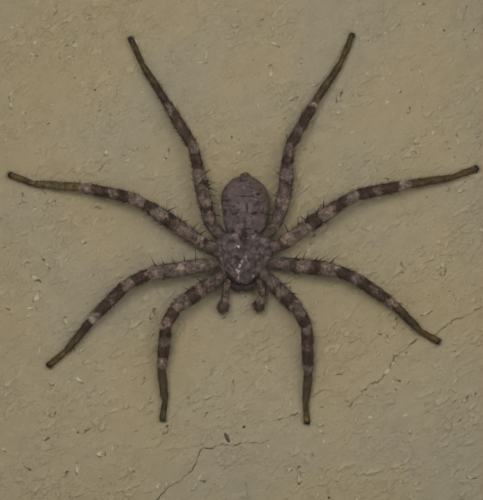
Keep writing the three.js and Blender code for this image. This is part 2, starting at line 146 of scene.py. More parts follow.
# Four walnut rails: each is one moulded length, mitred at both ends and glued to its neighbours.
# The arrises are sanded round, and the slope around the window falls back to the glass.
frame_low, frame_high = cad_box
FRAME_SIDE = (frame_high.x - frame_low.x) / MM
FRAME_FRONT = frame_low.y / MM
rail_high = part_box("frame_rail_bottom")[1]
RAIL_BACK = rail_high.y / MM
RAIL_FACE = rail_high.z / MM
LIP_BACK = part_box("glass_pane")[0].y / MM - STACK_GAP * 1.5
RABBET_INSET = 8.0
SIGHT_BEVEL = 1.4
MITRE_GAP = 0.05
# The moulding's corners: how far in from the outside, how far back, and the arris's radius
RAIL_CORNERS = [
    (0.0, RAIL_BACK, 0.35),
    (RABBET_INSET, RAIL_BACK, 0.3),
    (RABBET_INSET, LIP_BACK, 0.05),
    (RAIL_FACE, LIP_BACK, 0.08),
    (RAIL_FACE, FRAME_FRONT + SIGHT_BEVEL, 0.25),
    (RAIL_FACE - SIGHT_BEVEL, FRAME_FRONT, 0.3),
    (0.0, FRAME_FRONT, 0.75),
]
ARRIS_STEPS = 5
RAIL_STEPS = 48
RAIL_TURNS = {"bottom": 0, "left": 1, "top": 2, "right": 3}  # quarter turns about the window
PLANK_SHIFT = 217  # mm of grain between one rail's cut and the next
GRAIN_STRETCH = (0.035, 0.6, 0.6)  # the streaks run long along the rail, and so do the pores
PORE_STRETCH = (0.35, 5.5, 5.5)
WORN_WALNUT = linear(146, 106, 72)


def rounded_outline(corners, steps):
    """Points around a closed outline whose corners are rounded, each with 1 at an arris or 0."""
    points = []
    for k, (x, y, radius) in enumerate(corners):
        corner = Vector((x, y))
        before = (Vector(corners[k - 1][:2]) - corner).normalized()
        after = (Vector(corners[(k + 1) % len(corners)][:2]) - corner).normalized()
        half_turn = before.angle(after) / 2
        cut = radius / math.tan(half_turn)
        centre = corner + (before + after).normalized() * radius / math.sin(half_turn)
        start = corner + before * cut - centre
        sweep = (corner + after * cut - centre).angle_signed(start)
        for step in range(steps + 1):
            turned = Matrix.Rotation(sweep * step / steps, 2) @ start
            points.append((*(centre + turned), 1.0 if 0 < step < steps else 0.0))
    return points


def mesh_from(name, points, faces):
    """A mesh of points in mm and faces, with its faces turned outwards."""
    mesh = bpy.data.meshes.new(name)
    mesh.from_pydata([tuple(map(float, p)) for p in points], [], [tuple(map(int, f)) for f in faces])
    shape = bmesh.new()
    shape.from_mesh(mesh)
    bmesh.ops.recalc_face_normals(shape, faces=shape.faces)
    shape.to_mesh(mesh)
    shape.free()
    return mesh


def give(mesh, name, values):
    """Stores a number, a direction or a colour for each of a mesh's points."""
    values = np.asarray(values, np.float32)
    kinds = {1: ("FLOAT", "value"), 3: ("FLOAT_VECTOR", "vector"), 4: ("FLOAT_COLOR", "color")}
    kind, key = kinds[1 if values.ndim == 1 else values.shape[1]]
    mesh.attributes.new(name, kind, "POINT").data.foreach_set(key, values.ravel())


def loft_faces(rings, around):
    """Faces between rings of points, closed at both ends by a face across the first and last ring."""
    faces = []
    for ring in range(rings - 1):
        for k in range(around):
            k_next = (k + 1) % around
            a, b = ring * around + k, ring * around + k_next
            faces.append((a, b, b + around, a + around))
    faces.append(tuple(range(around)))
    faces.append(tuple(range((rings - 1) * around, rings * around)))
    return faces


def turn_to_side(mesh, quarter_turns):
    """Turns a mesh made for the bottom rail about the window's middle, to another rail."""
    turn = Matrix.Rotation(quarter_turns * math.pi / 2, 4, "Y")
    mesh.transform(Matrix.Translation((0, 0, MIDDLE)) @ turn @ Matrix.Translation((0, 0, -MIDDLE)))


def place_piece(mesh, slot, *nodes, smooth=True):
    """Brings a mesh from mm to metres and shows it as a piece in place of the nodes named."""
    mesh.transform(Matrix.Scale(MM, 4))
    mesh.polygons.foreach_set("use_smooth", [smooth] * len(mesh.polygons))
    piece = bpy.data.objects.new(mesh.name, mesh)
    bpy.context.scene.collection.objects.link(piece)
    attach(piece, "root")
    if nodes:
        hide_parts(*nodes)


def add(tree, kind, inputs=None, **settings):
    """Adds a node to a tree: its settings, and a value or another node's output for each input."""
    new = tree.nodes.new(kind)
    for name, value in settings.items():
        setattr(new, name, value)
    for key, value in (inputs or {}).items():
        if isinstance(value, bpy.types.NodeSocket):
            tree.links.new(value, new.inputs[key])
        else:
            new.inputs[key].default_value = value
    return new


def stored(tree, name, output="Fac"):
    """What a mesh stores for its points under a name."""
    return add(tree, "ShaderNodeAttribute", attribute_name=name).outputs[output]


def noise_of(tree, place, scale, detail=4.0, roughness=0.55):
    """A cloud pattern from 0 to 1, with scale in waves per unit of the place."""
    values = {"Vector": place, "Scale": scale, "Detail": detail, "Roughness": roughness}
    return add(tree, "ShaderNodeTexNoise", values).outputs[0]


def tone(value):
    """A grey in the renderer's own numbers, or a colour in 0 to 255 as a screen shows it."""
    return linear(*value) if isinstance(value, tuple) else (value, value, value, 1.0)


def ramp(tree, value, *stops):
    """Tones along a value, each stop a place and a grey or a colour."""
    new = add(tree, "ShaderNodeValToRGB", {0: value})
    stock = new.color_ramp.elements
    while len(stock) < len(stops):
        stock.new(0.5)
    for element, (at, shown) in zip(stock, stops):
        element.position = at
        element.color = tone(shown)
    return new.outputs[0]


def mixed(tree, share, first, second, way="MIX"):
    """Two colours mixed by a share."""
    values = {0: share, 6: first, 7: second}
    return add(tree, "ShaderNodeMix", values, data_type="RGBA", blend_type=way).outputs[2]


def toned(tree, share, colour, value, *stops):
    """A colour made darker or paler by the greys along a value."""
    return mixed(tree, share, colour, ramp(tree, value, *stops), "MULTIPLY")


def sums(tree, operation, first, second):
    return add(tree, "ShaderNodeMath", {0: first, 1: second}, operation=operation).outputs[0]


def vectors(tree, operation, first, second):
    key = "Scale" if operation == "SCALE" else 1
    return add(tree, "ShaderNodeVectorMath", {0: first, key: second}, operation=operation).outputs[0]


def dress(tree, shader, colour, roughness=None):
    """Gives a shader its colour pattern, and its roughness pattern where there is one."""
    tree.links.new(colour, shader.inputs["Base Color"])
    if roughness is not None:
        tree.links.new(roughness, shader.inputs["Roughness"])


def bumped(tree, shader, height, depth_mm, strength=1.0):
    """Gives a shader the relief of a height pattern, this deep."""
    values = {"Strength": strength, "Distance": depth_mm * MM, "Height": height}
    bump = add(tree, "ShaderNodeBump", values)
    tree.links.new(bump.outputs[0], shader.inputs["Normal"])


def walnut_finish():
    """Stained walnut: streaks and open pores along the rail, and paler worn arrises."""
    material, tree, shader = finish("stained_walnut", 0.42)
    place = stored(tree, "grain_place", "Vector")
    along = vectors(tree, "MULTIPLY", place, GRAIN_STRETCH)
    streaks = noise_of(tree, along, 1.4, 6.0, 0.62)
    fine = noise_of(tree, along, 7.0, 5.0, 0.7)
    pores = noise_of(tree, vectors(tree, "MULTIPLY", place, PORE_STRETCH), 1.0, 2.0, 0.5)
    wood = ramp(
        tree, streaks,
        (0.32, (58, 36, 23)), (0.47, (92, 60, 38)), (0.58, (116, 79, 51)), (0.72, (76, 48, 31)),
    )
    wood = toned(tree, 0.5, wood, fine, (0.35, 0.35), (0.65, 1.0))
    open_pores = ramp(tree, pores, (0.30, 0.35), (0.40, 1.0))
    wood = mixed(tree, 0.8, wood, open_pores, "MULTIPLY")
    wear_and_relief_shade = sums(tree, "MULTIPLY", stored(tree, "arris"), noise_of(tree, place, 0.5))
    wood = mixed(tree, sums(tree, "MULTIPLY", wear_and_relief_shade, 0.7), wood, WORN_WALNUT)
    dress(tree, shader, wood, ramp(tree, fine, (0.3, 0.36), (0.7, 0.52)))
    bumped(tree, shader, mixed(tree, 0.35, open_pores, fine), 0.05, 0.7)
    return material


def rail(side, quarter_turns):
    """A rail's mesh, with its place along the plank and its worn arrises stored for its finish."""
    outline = rounded_outline(RAIL_CORNERS, ARRIS_STEPS)
    points = []
    places = []
    for step in range(RAIL_STEPS + 1):
        share = 1 - 2 * step / RAIL_STEPS
        for inset, depth, _ in outline:
            along = share * (FRAME_SIDE / 2 - inset - MITRE_GAP)
            points.append((along, depth, inset))
            places.append((along + PLANK_SHIFT * quarter_turns, inset, depth))
    mesh = mesh_from("walnut_rail_" + side, points, loft_faces(RAIL_STEPS + 1, len(outline)))
    give(mesh, "grain_place", places)
    give(mesh, "arris", [edge for _ in range(RAIL_STEPS + 1) for _, _, edge in outline])
    turn_to_side(mesh, quarter_turns)
    return mesh


walnut = walnut_finish()
for side, quarter_turns in RAIL_TURNS.items():
    rail_mesh = rail(side, quarter_turns)
    rail_mesh.materials.append(walnut)
    place_piece(rail_mesh, "rail_wood", "frame_rail_" + side, smooth=False)


# The glass: one pane of thin, low-reflection picture glass, dropped into the rabbet from behind.
# It is clear, so only a faint share of it shows, as a soft reflection.
GLASS_SHARE = 0.05
GLASS_GREEN = (0.02, 0.035, 0.03, 1)
glass_finish, _, _ = finish(
    "picture_glass", 0.03, Base_Color=GLASS_GREEN, Alpha=GLASS_SHARE, IOR=1.5, Specular_IOR_Level=0.8,
)
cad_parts["glass_pane"].material_slots[0].material = glass_finish


def object_place(tree):
    return add(tree, "ShaderNodeTexCoord").outputs["Object"]


# Four spacers of thin stained wood, standing around the inside between the glass and the panel.
# They are cut square and held only by the stack, so they stay as they are in CAD.
PER_MM = 1000.0  # waves per mm, for a pattern read in metres
spacer_finish, tree, shader = finish("stained_spacer", 0.62)
fibres = noise_of(tree, object_place(tree), 1.6 * PER_MM, 5.0, 0.65)
dress(tree, shader, ramp(tree, fibres, (0.3, (34, 27, 22)), (0.7, (66, 52, 41))))
bumped(tree, shader, fibres, 0.03)
for side in RAIL_TURNS:
    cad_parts["spacer_" + side].material_slots[0].material = spacer_finish


# The panel: a board skimmed with coarse lime plaster under a khaki wash, which the spider lies on.
# The float left soft swells and swept streaks in it. A hairline crack crosses it and breaks off
# here and there, crumbs and nibs of lime stand on it, and a few husks are caught in the wash.
PANEL_SIDE = (panel_high.x - panel_low.x) / MM
PANEL_BACK = panel_high.y / MM
PLASTER_RISE = 0.03  # the plaster's mean height over the board's face
PANEL_CELLS = 212
CRACK_CUTS = 4  # each cell beside a crack is cut this finely again
CRACK_BAND = 0.45
EDGE_FLAT = 4.0  # under the spacers and just inside them the plaster is struck flat
SWELLS = [  # waves per mm, height in mm
    (0.10, 0.10), (0.42, 0.045), (1.3, 0.022),
]
CRACK_SEED = 5
# Cracks as [across, up] from the window's middle, and how deep each is
CRACKS = [
    ([(-9.6, -28.6), (-8.7, -27.2), (-7.4, -25.9), (-6.1, -25.1), (-5.0, -24.0), (-4.3, -22.2),
      (-3.9, -21.9), (-3.0, -22.0)], 1.0),
    ([(-3.2, -22.0), (-2.1, -21.6), (-0.9, -21.7), (0.4, -21.4), (1.6, -21.5), (2.7, -21.2)], 0.85),
    ([(3.5, -19.2), (4.6, -18.9), (5.4, -18.5)], 0.85),
    ([(6.9, -16.9), (7.7, -16.2), (9.0, -16.2)], 0.6),
    ([(10.5, -17.9), (11.7, -16.7), (12.7, -15.6), (13.6, -15.3), (14.5, -14.2), (15.1, -12.9),
      (16.5, -11.9), (17.5, -11.0)], 0.9),
    ([(19.2, -10.7), (20.1, -9.9), (21.1, -9.2), (22.0, -8.9), (24.2, -7.7), (27.0, -6.4)], 0.8),
    ([(-14.5, 5.7), (-13.9, 6.4)], 0.7),
]
CRACK_WIDTH = 0.055
CRACK_DEPTH = 0.12
CRACK_FAINTEST = 0.42  # the share of its depth that a crack keeps where the wash has run into it
CRACK_LIP = (0.16, 0.09, 0.015)  # a raised edge: how far from the crack, its half width and height
CRACK_WANDER = 0.056
CRACK_STEP = 0.25
# The colour painted into a crack's groove, fullest where it is deepest: painted shade.
CRACK_SHADE = linear(70, 58, 42)
CRUMBS = {"Density": 0.4, "Size": 0.22, "Spread": 1.3, "Seed": 11}
CRUMB_LEAST = (0.6, 0.14, 0.3)  # the least and the most that a crumb is stretched
CRUMB_MOST = (1.7, 0.34, 0.8)
LUMP_SINK = 0.1  # half a lump's depth
LUMP_KNOBS = 0.05  # how uneven it is
LIME = linear(204, 194, 166)
LIME_SHARE = 0.6  # how far the palest nib comes through the wash
LUMP_PALENESS = 0.85
LARGE_CRUMBS = [  # across, up, half length, half width, turn
    (14.4, -14.3, 0.34, 0.2, 40.0), (15.0, -13.5, 0.22, 0.13, 35.0), (16.2, -18.7, 0.3, 0.15, 25.0),
    (12.7, -18.9, 0.28, 0.14, 20.0), (12.4, -20.3, 0.2, 0.14, 30.0), (-4.3, -24.9, 0.3, 0.16, 50.0),
    (-4.7, -25.7, 0.2, 0.12, 30.0), (-20.8, 18.6, 0.22, 0.17, 60.0), (-23.1, 20.1, 0.24, 0.15, -10.0),
    (-19.5, 20.3, 0.14, 0.12, 0.0), (14.4, 12.6, 0.24, 0.17, 40.0), (14.0, 15.0, 0.18, 0.13, 30.0),
    (12.4, 15.5, 0.18, 0.12, 10.0), (10.9, 9.6, 0.26, 0.13, 35.0), (19.0, 9.6, 0.18, 0.14, 60.0),
    (-13.6, 14.5, 0.14, 0.12, 0.0), (-10.1, 13.6, 0.16, 0.12, 20.0),
]
FLOAT_TURN = (0.0, 0.9, 0.0)  # the float was swept up to the right
FLOAT_STRETCH = (0.85, 1.0, 1.5)
CHIPS = [  # small dark husks pressed in the plaster: across, up, half length, half width, turn
    (-1.6, -20.9, 0.58, 0.19, -62.0), (0.1, -19.85, 0.17, 0.13, 30.0), (-14.8, 13.85, 0.13, 0.1, 0.0),
    (8.6, -26.9, 0.14, 0.11, 15.0),
]
CHIP_SINK = 0.13
CHIP_KNOBS = 0.035
KNOB_SEED = 5  # the knobs' noise follows the clock unless it is given a seed


def cloud(points, waves, octaves=3, shift=0.0):
    """Fractal noise about 0 at each point, with so many waves per mm."""
    drift = Vector((shift, -2.7 * shift, 0.6 * shift))
    return np.array([noise.fractal(Vector(p) * waves + drift, 0.9, 2.1, octaves) for p in points])


def crack_line(corners, rng):
    """A hairline's route: straight runs that wander a little at every step."""
    corners = np.array(corners, float)
    lengths = np.hypot(*np.diff(corners, axis=0).T)
    marks = np.concatenate([[0], np.cumsum(lengths)])
    steps = np.arange(0, marks[-1], CRACK_STEP)
    route = np.stack([np.interp(steps, marks, corners[:, k]) for k in (0, 1)], axis=1)
    return route + rng.normal(0, CRACK_WANDER, route.shape)


def distance_to_line(points, route):
    """How far each point is from a line of straight runs."""
    nearest = np.full(len(points), 1e9)
    for start, end in zip(route[:-1], route[1:]):
        run = end - start
        share = np.clip((points - start) @ run / (run @ run), 0, 1)
        nearest = np.minimum(nearest, np.hypot(*(points - start - share[:, None] * run).T))
    return nearest


def node_tree(name, *sockets):
    """A geometry tree with a shape in and out, and its named inputs: name, kind of socket."""
    tree = bpy.data.node_groups.new(name, "GeometryNodeTree")
    tree.interface.new_socket("Shape", in_out="INPUT", socket_type="NodeSocketGeometry")
    tree.interface.new_socket("Shape", in_out="OUTPUT", socket_type="NodeSocketGeometry")
    for socket, kind in sockets:
        tree.interface.new_socket(socket, in_out="INPUT", socket_type="NodeSocket" + kind)
    return tree, tree.nodes.new("NodeGroupInput").outputs, tree.nodes.new("NodeGroupOutput").inputs


def run_tree(mesh, tree, **values):
    """Runs a geometry tree once over a mesh, and gives back the plain mesh that it makes."""
    carrier = bpy.data.objects.new("carrier", mesh)
    bpy.context.scene.collection.objects.link(carrier)
    modifier = carrier.modifiers.new("growth", "NODES")
    modifier.node_group = tree
    for item in tree.interface.items_tree:
        if item.in_out == "INPUT" and item.name.replace(" ", "_") in values:
            modifier[item.identifier] = values[item.name.replace(" ", "_")]
    depsgraph = bpy.context.evaluated_depsgraph_get()
    grown = carrier.evaluated_get(depsgraph)
    result = bpy.data.meshes.new_from_object(grown, preserve_all_data_layers=True, depsgraph=depsgraph)
    carrier.modifiers.remove(modifier)
    bpy.data.objects.remove(carrier)
    result.name = mesh.name
    return result


def attribute_in(tree, name, kind="FLOAT"):
    return add(tree, "GeometryNodeInputNamedAttribute", {"Name": name}, data_type=kind).outputs[0]


def random_in(tree, low, high, seed, kind="FLOAT"):
    """A number, or a direction, picked for each point between two bounds."""
    pair = {"FLOAT": (2, 3), "FLOAT_VECTOR": (0, 1)}[kind]
    values = {pair[0]: low, pair[1]: high, "Seed": seed}
    node = add(tree, "FunctionNodeRandomValue", values, data_type=kind)
    return node.outputs[1 if kind == "FLOAT" else 0]


def strewn_points(tree, given, where, stamp, seed):
    """Points strewn over a shape where a stored share allows, each stamped with a number from 0 to 1."""
    density = sums(tree, "MULTIPLY", given["Density"], attribute_in(tree, where))
    values = {"Mesh": given["Shape"], "Density": density, "Seed": given["Seed"]}
    strewn = add(tree, "GeometryNodeDistributePointsOnFaces", values)
    values = {"Geometry": strewn.outputs["Points"], "Name": stamp, "Value": random_in(tree, 0.0, 1.0, seed)}
    stamped = add(tree, "GeometryNodeStoreNamedAttribute", values, data_type="FLOAT")
    return stamped.outputs[0], strewn.outputs["Normal"]


def set_on(tree, points, shape, turn, size, material):
    """A copy of a shape on every point, made real and given its material."""
    values = {"Points": points, "Instance": shape, "Rotation": turn, "Scale": size}
    copies = add(tree, "GeometryNodeInstanceOnPoints", values).outputs[0]
    copies = add(tree, "GeometryNodeRealizeInstances", {"Geometry": copies}).outputs[0]
    return add(tree, "GeometryNodeSetMaterial", {"Geometry": copies, "Material": material}).outputs[0]


def sand_tree():
    """Crumbs of lime and sand caught under the wash: lumpy flakes, strewn where the plaster is bare."""
    tree, given, out = node_tree(
        "plaster_crumbs", ("Density", "Float"), ("Size", "Float"), ("Spread", "Float"), ("Seed", "Int"),
        ("Plaster", "Material"),
    )
    spots, _ = strewn_points(tree, given, "bare", "nib", 3)
    grain = add(tree, "GeometryNodeMeshIcoSphere", {"Radius": 1.0, "Subdivisions": 2}).outputs[0]
    spot = add(tree, "GeometryNodeInputPosition").outputs[0]
    knobs = add(tree, "ShaderNodeTexNoise", {"Vector": spot, "Scale": 1.3, "Detail": 2.0}).outputs[1]
    shove = vectors(tree, "SCALE", vectors(tree, "SUBTRACT", knobs, (0.5, 0.5, 0.5)), 2.2)
    grain = add(tree, "GeometryNodeSetPosition", {"Geometry": grain, "Offset": shove}).outputs[0]
    spin = random_in(tree, (-0.3, -1.9, -0.3), (0.3, 0.9, 0.3), 4, "FLOAT_VECTOR")
    size = sums(tree, "POWER", random_in(tree, 0.0, 1.0, 5), 3.5)  # most are small
    size = sums(tree, "ADD", sums(tree, "MULTIPLY", size, given["Spread"]), 0.5)
    size = sums(tree, "MULTIPLY", size, given["Size"])
    shape = vectors(tree, "SCALE", random_in(tree, CRUMB_LEAST, CRUMB_MOST, 6, "FLOAT_VECTOR"), size)
    tree.links.new(set_on(tree, spots, grain, spin, shape, given["Plaster"]), out["Shape"])
    return tree


def plaster_finish():
    """Khaki wash over lime plaster: warm and grey patches, float streaks, and painted highlight and shade on
    the rough flakes.
    """
    material, tree, shader = finish("khaki_plaster", 0.9, Specular_IOR_Level=0.2)
    place = object_place(tree)
    sweep = {"Vector": place, "Rotation": FLOAT_TURN, "Scale": FLOAT_STRETCH}
    turned = add(tree, "ShaderNodeMapping", sweep, vector_type="TEXTURE").outputs[0]
    broad = noise_of(tree, place, 0.07 * PER_MM, 3.0, 0.5)
    patches = noise_of(tree, place, 0.26 * PER_MM, 4.0, 0.6)
    streaks = noise_of(tree, turned, 0.8 * PER_MM, 4.0, 0.6)
    flakes = noise_of(tree, turned, 1.5 * PER_MM, 4.0, 0.55)
    grit = noise_of(tree, place, 5.0 * PER_MM, 3.0, 0.6)
    wash = ramp(tree, broad, (0.36, (157, 146, 121)), (0.50, (161, 147, 117)), (0.64, (161, 146, 113)))
    wash = toned(tree, 1.0, wash, patches, (0.30, 0.92), (0.5, 0.99), (0.70, 1.04))
    wash = toned(tree, 1.0, wash, streaks, (0.34, 0.94), (0.5, 1.0), (0.66, 1.03))
    roughened = ramp(tree, patches, (0.38, 0.15), (0.60, 1.0))
    # Where the plaster is rough, the wash is painted paler on the flakes' high spots and darker in their
    # hollows: a painted highlight and painted shade that follow the bump below.
    wear_and_relief_shade = toned(tree, 1.0, wash, flakes, (0.32, 0.92), (0.46, 0.99), (0.58, 1.02), (0.68, 1.12))
    wash = mixed(tree, roughened, wash, wear_and_relief_shade)
    wash = toned(tree, 0.5, wash, grit, (0.30, 0.90), (0.55, 1.0), (0.72, 1.10))
    wash = mixed(tree, sums(tree, "MULTIPLY", stored(tree, "nib"), LIME_SHARE), wash, LIME)
    # Painted shade along the cracks' grooves.
    wash = mixed(tree, stored(tree, "crack"), wash, CRACK_SHADE)
    dress(tree, shader, wash)
    plates = ramp(tree, flakes, (0.38, 0.0), (0.50, 0.3), (0.60, 0.85), (0.70, 1.0))
    plates = mixed(tree, roughened, tone(0.3), plates)
    bumped(tree, shader, mixed(tree, 0.25, plates, grit), 0.3, 0.85)
    return material


def plaster_panel():
    """The board's box, its front cut into cells, finer beside the cracks, and moved by the swells."""
    half = PANEL_SIDE / 2
    spots = np.linspace(-half, half, PANEL_CELLS + 1)
    shape = bmesh.new()
    grid = [[shape.verts.new((x, 0, z)) for z in spots] for x in spots]
    for i in range(PANEL_CELLS):
        for j in range(PANEL_CELLS):
            shape.faces.new((grid[i][j], grid[i + 1][j], grid[i + 1][j + 1], grid[i][j + 1]))
    rng = np.random.default_rng(CRACK_SEED)
    routes = [(crack_line(corners, rng), depth) for corners, depth in CRACKS]
    shape.faces.ensure_lookup_table()
    centres = np.array([face.calc_center_median() for face in shape.faces])[:, [0, 2]]
    beside = np.min([distance_to_line(centres, route) for route, _ in routes], axis=0) < CRACK_BAND
    close = [shape.faces[k] for k in np.flatnonzero(beside)]
    edges = list({edge for face in close for edge in face.edges})
    bmesh.ops.subdivide_edges(shape, edges=edges, cuts=CRACK_CUTS, use_grid_fill=True)
    shape.verts.ensure_lookup_table()
    spots = np.array([vert.co for vert in shape.verts])
    flat = spots[:, [0, 2]]
    inside = np.clip((half - np.abs(flat).max(axis=1) - EDGE_FLAT) / EDGE_FLAT, 0, 1)
    rise = np.full(len(spots), PLASTER_RISE)
    for shift, (waves, height) in enumerate(SWELLS):
        rise += height * cloud(spots, waves, 3, 11.0 * shift)
    broken = np.clip(cloud(spots, 1.1, 2, 40.0) * 3.4 + 0.85, CRACK_FAINTEST, 1)
    dark = np.zeros(len(spots))
    lip_away, lip_half, lip_rise = CRACK_LIP
    for route, depth in routes:
        away = distance_to_line(flat, route)
        groove = np.exp(-((away / CRACK_WIDTH) ** 2)) * broken * depth
        lip = np.exp(-(((away - lip_away) / lip_half) ** 2)) * depth
        rise += lip * lip_rise - groove * CRACK_DEPTH
        # how much painted shade each point gets from the cracks, stored as crack
        dark = np.maximum(dark, groove)
    rise *= inside
    for vert, height in zip(shape.verts, rise):
        vert.co.y = BACKING + STACK_GAP / 2 - height
        vert.co.z += MIDDLE
    rim = [edge for edge in shape.edges if edge.is_boundary]
    wall = bmesh.ops.extrude_edge_only(shape, edges=rim)["geom"]
    back = [part for part in wall if isinstance(part, bmesh.types.BMVert)]
    for vert in back:
        vert.co.y = PANEL_BACK
    bmesh.ops.contextual_create(shape, geom=[p for p in wall if isinstance(p, bmesh.types.BMEdge)])
    bmesh.ops.recalc_face_normals(shape, faces=shape.faces)
    mesh = bpy.data.meshes.new("plaster_panel")
    shape.to_mesh(mesh)
    shape.free()
    spare = np.zeros(len(mesh.vertices) - len(spots))
    give(mesh, "crack", np.concatenate([dark, spare]))
    give(mesh, "bare", np.concatenate([(inside >= 1).astype(float), spare]))
    return mesh


def pebbles(name, spots, sink, knobs, material):
    """Small lumps half sunk in the plaster: across, up, half length, half width and turn of each."""
    noise.seed_set(KNOB_SEED)
    shape = bmesh.new()
    for across, up, half_length, half_width, turn in spots:
        spot = Matrix.Translation((across, BACKING, MIDDLE + up))
        lie = Matrix.Rotation(math.radians(-turn), 4, "Y")
        stretch = Matrix.Diagonal((half_length, sink, half_width, 1))
        bmesh.ops.create_icosphere(shape, subdivisions=4, radius=1, matrix=spot @ lie @ stretch)
    for vert in shape.verts:
        vert.co += noise.noise_vector(vert.co * 6) * knobs
    mesh = bpy.data.meshes.new(name)
    shape.to_mesh(mesh)
    shape.free()
    mesh.materials.append(material)
    return mesh


panel = plaster_panel()
plaster = plaster_finish()
panel.materials.append(plaster)
crumbs = run_tree(panel, sand_tree(), Plaster=plaster, **CRUMBS)
crumbs.name = "plaster_crumbs"
place_piece(panel, "plaster", "mount_panel")
place_piece(crumbs, "plaster")
lumps = pebbles("plaster_lumps", LARGE_CRUMBS, LUMP_SINK, LUMP_KNOBS, plaster)
give(lumps, "nib", np.full(len(lumps.vertices), LUMP_PALENESS))
place_piece(lumps, "plaster")

husk_finish, tree, shader = finish("chaff", 0.8)
husk_tone = noise_of(tree, object_place(tree), 5 * PER_MM, 3.0)
dress(tree, shader, ramp(tree, husk_tone, (0.3, (66, 55, 36)), (0.7, (96, 84, 60))))
place_piece(pebbles("chaff_flecks", CHIPS, CHIP_SINK, CHIP_KNOBS, husk_finish), "plaster")


# The back board: a square of pressed hardboard laid behind the panel, rough screen side out.
# It is sawn to size, and the four steel points hold it in.
MESH_PITCH = 1.1  # mm from wire to wire of the screen that it was pressed on
board_finish, tree, shader = finish("hardboard", 0.78)
place = object_place(tree)
fibres = noise_of(tree, place, 1.1 * PER_MM, 6.0, 0.7)
flecks = noise_of(tree, place, 5.0 * PER_MM, 3.0, 0.6)
board = ramp(tree, fibres, (0.30, (84, 56, 36)), (0.52, (116, 82, 54)), (0.70, (140, 103, 70)))
dress(tree, shader, toned(tree, 0.5, board, flecks, (0.35, 0.6), (0.6, 1.0)))
apart = add(tree, "ShaderNodeSeparateXYZ", {0: place})
weave = []
for axis in (apart.outputs[0], apart.outputs[2]):
    wave = sums(tree, "SINE", sums(tree, "MULTIPLY", axis, PER_MM * math.pi / MESH_PITCH), 0)
    weave.append(sums(tree, "ABSOLUTE", wave, 0))
screen = sums(tree, "MULTIPLY", *weave)
bumped(tree, shader, sums(tree, "ADD", screen, sums(tree, "MULTIPLY", flecks, 0.5)), 0.12)
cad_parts["back_board"].material_slots[0].material = board_finish


# Steel points: thin zinc-plated blades pressed into the rabbet's walls, which hold the back in.
# Each has a round nose, and a lip near its free end is bent up for a fingernail.
BRUSH_STRETCH = (1.0, 6.0, 9.0)
steel_finish, tree, shader = finish("zinc_steel", 0.34, Metallic=1.0)
place = object_place(tree)
brushed = noise_of(tree, vectors(tree, "MULTIPLY", place, BRUSH_STRETCH), 1.2 * PER_MM, 4.0, 0.6)
spangle = noise_of(tree, place, 0.5 * PER_MM, 3.0, 0.5)
zinc = ramp(tree, spangle, (0.35, (168, 168, 164)), (0.65, (200, 200, 197)))
dress(tree, shader, zinc, ramp(tree, brushed, (0.3, 0.26), (0.7, 0.46)))
bumped(tree, shader, brushed, 0.012, 0.6)
POINT_WIDTH = 5.0
POINT_NOSE = 1.1  # the free end narrows over this length, almost to a round
POINT_ROUND = 0.93
POINT_LIP = 0.9  # how far the lip is bent up, where along the blade it starts, and how sharply
LIP_START = 0.66
LIP_CURVE = 1.6
POINT_SHOULDER = 0.16
POINT_ROWS = 24
point_low, point_high = (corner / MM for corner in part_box("steel_point_bottom"))
for side, quarter_turns in RAIL_TURNS.items():
    points = []
    for row in range(POINT_ROWS + 1):
        reach = row / POINT_ROWS
        up = point_low.z + (point_high.z - point_low.z) * reach
        nose = max(0.0, (up - point_high.z + POINT_NOSE) / POINT_NOSE)
        half = POINT_WIDTH / 2 * math.sqrt(1 - POINT_ROUND * nose**2)
        lift = POINT_LIP * max(0.0, (reach - LIP_START) / (1 - LIP_START)) ** LIP_CURVE
        front, back = point_low.y + lift, point_high.y + lift
        inner, shoulder = half - POINT_SHOULDER, back - POINT_SHOULDER
        points += [
            (-half, front, up), (half, front, up), (half, shoulder, up),
            (inner, back, up), (-inner, back, up), (-half, shoulder, up),
        ]
    blade = mesh_from("steel_blade_" + side, points, loft_faces(POINT_ROWS + 1, 6))
    turn_to_side(blade, quarter_turns)
    blade.materials.append(steel_finish)
    place_piece(blade, "steel", "steel_point_" + side, smooth=False)


# The hanger: a stamped steel strip with a row of notches, fixed to the top rail by two nails.
# The stamp has rounded its edges over, and the nails have low domed heads.
HANGER_EDGE = 0.14
FLAT_ANGLE = math.radians(4)  # faces that meet at less than this are one flat
SHARP_ANGLE = math.radians(40)
strip_shape = bmesh.new()
strip_shape.from_mesh(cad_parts["hanger_plate"].data)
bmesh.ops.scale(strip_shape, vec=(1 / MM,) * 3, verts=strip_shape.verts)
bmesh.ops.remove_doubles(strip_shape, verts=strip_shape.verts, dist=0.001)
bmesh.ops.dissolve_limit(
    strip_shape, angle_limit=FLAT_ANGLE, verts=strip_shape.verts, edges=strip_shape.edges,
)
sharp = [edge for edge in strip_shape.edges if edge.calc_face_angle(0) > SHARP_ANGLE]
bmesh.ops.bevel(strip_shape, geom=sharp, offset=HANGER_EDGE, segments=3, profile=0.5, affect="EDGES")
strip = bpy.data.meshes.new("sawtooth_strip")
strip_shape.to_mesh(strip)
strip_shape.free()
strip.materials.append(steel_finish)
place_piece(strip, "steel", "hanger_plate", smooth=False)

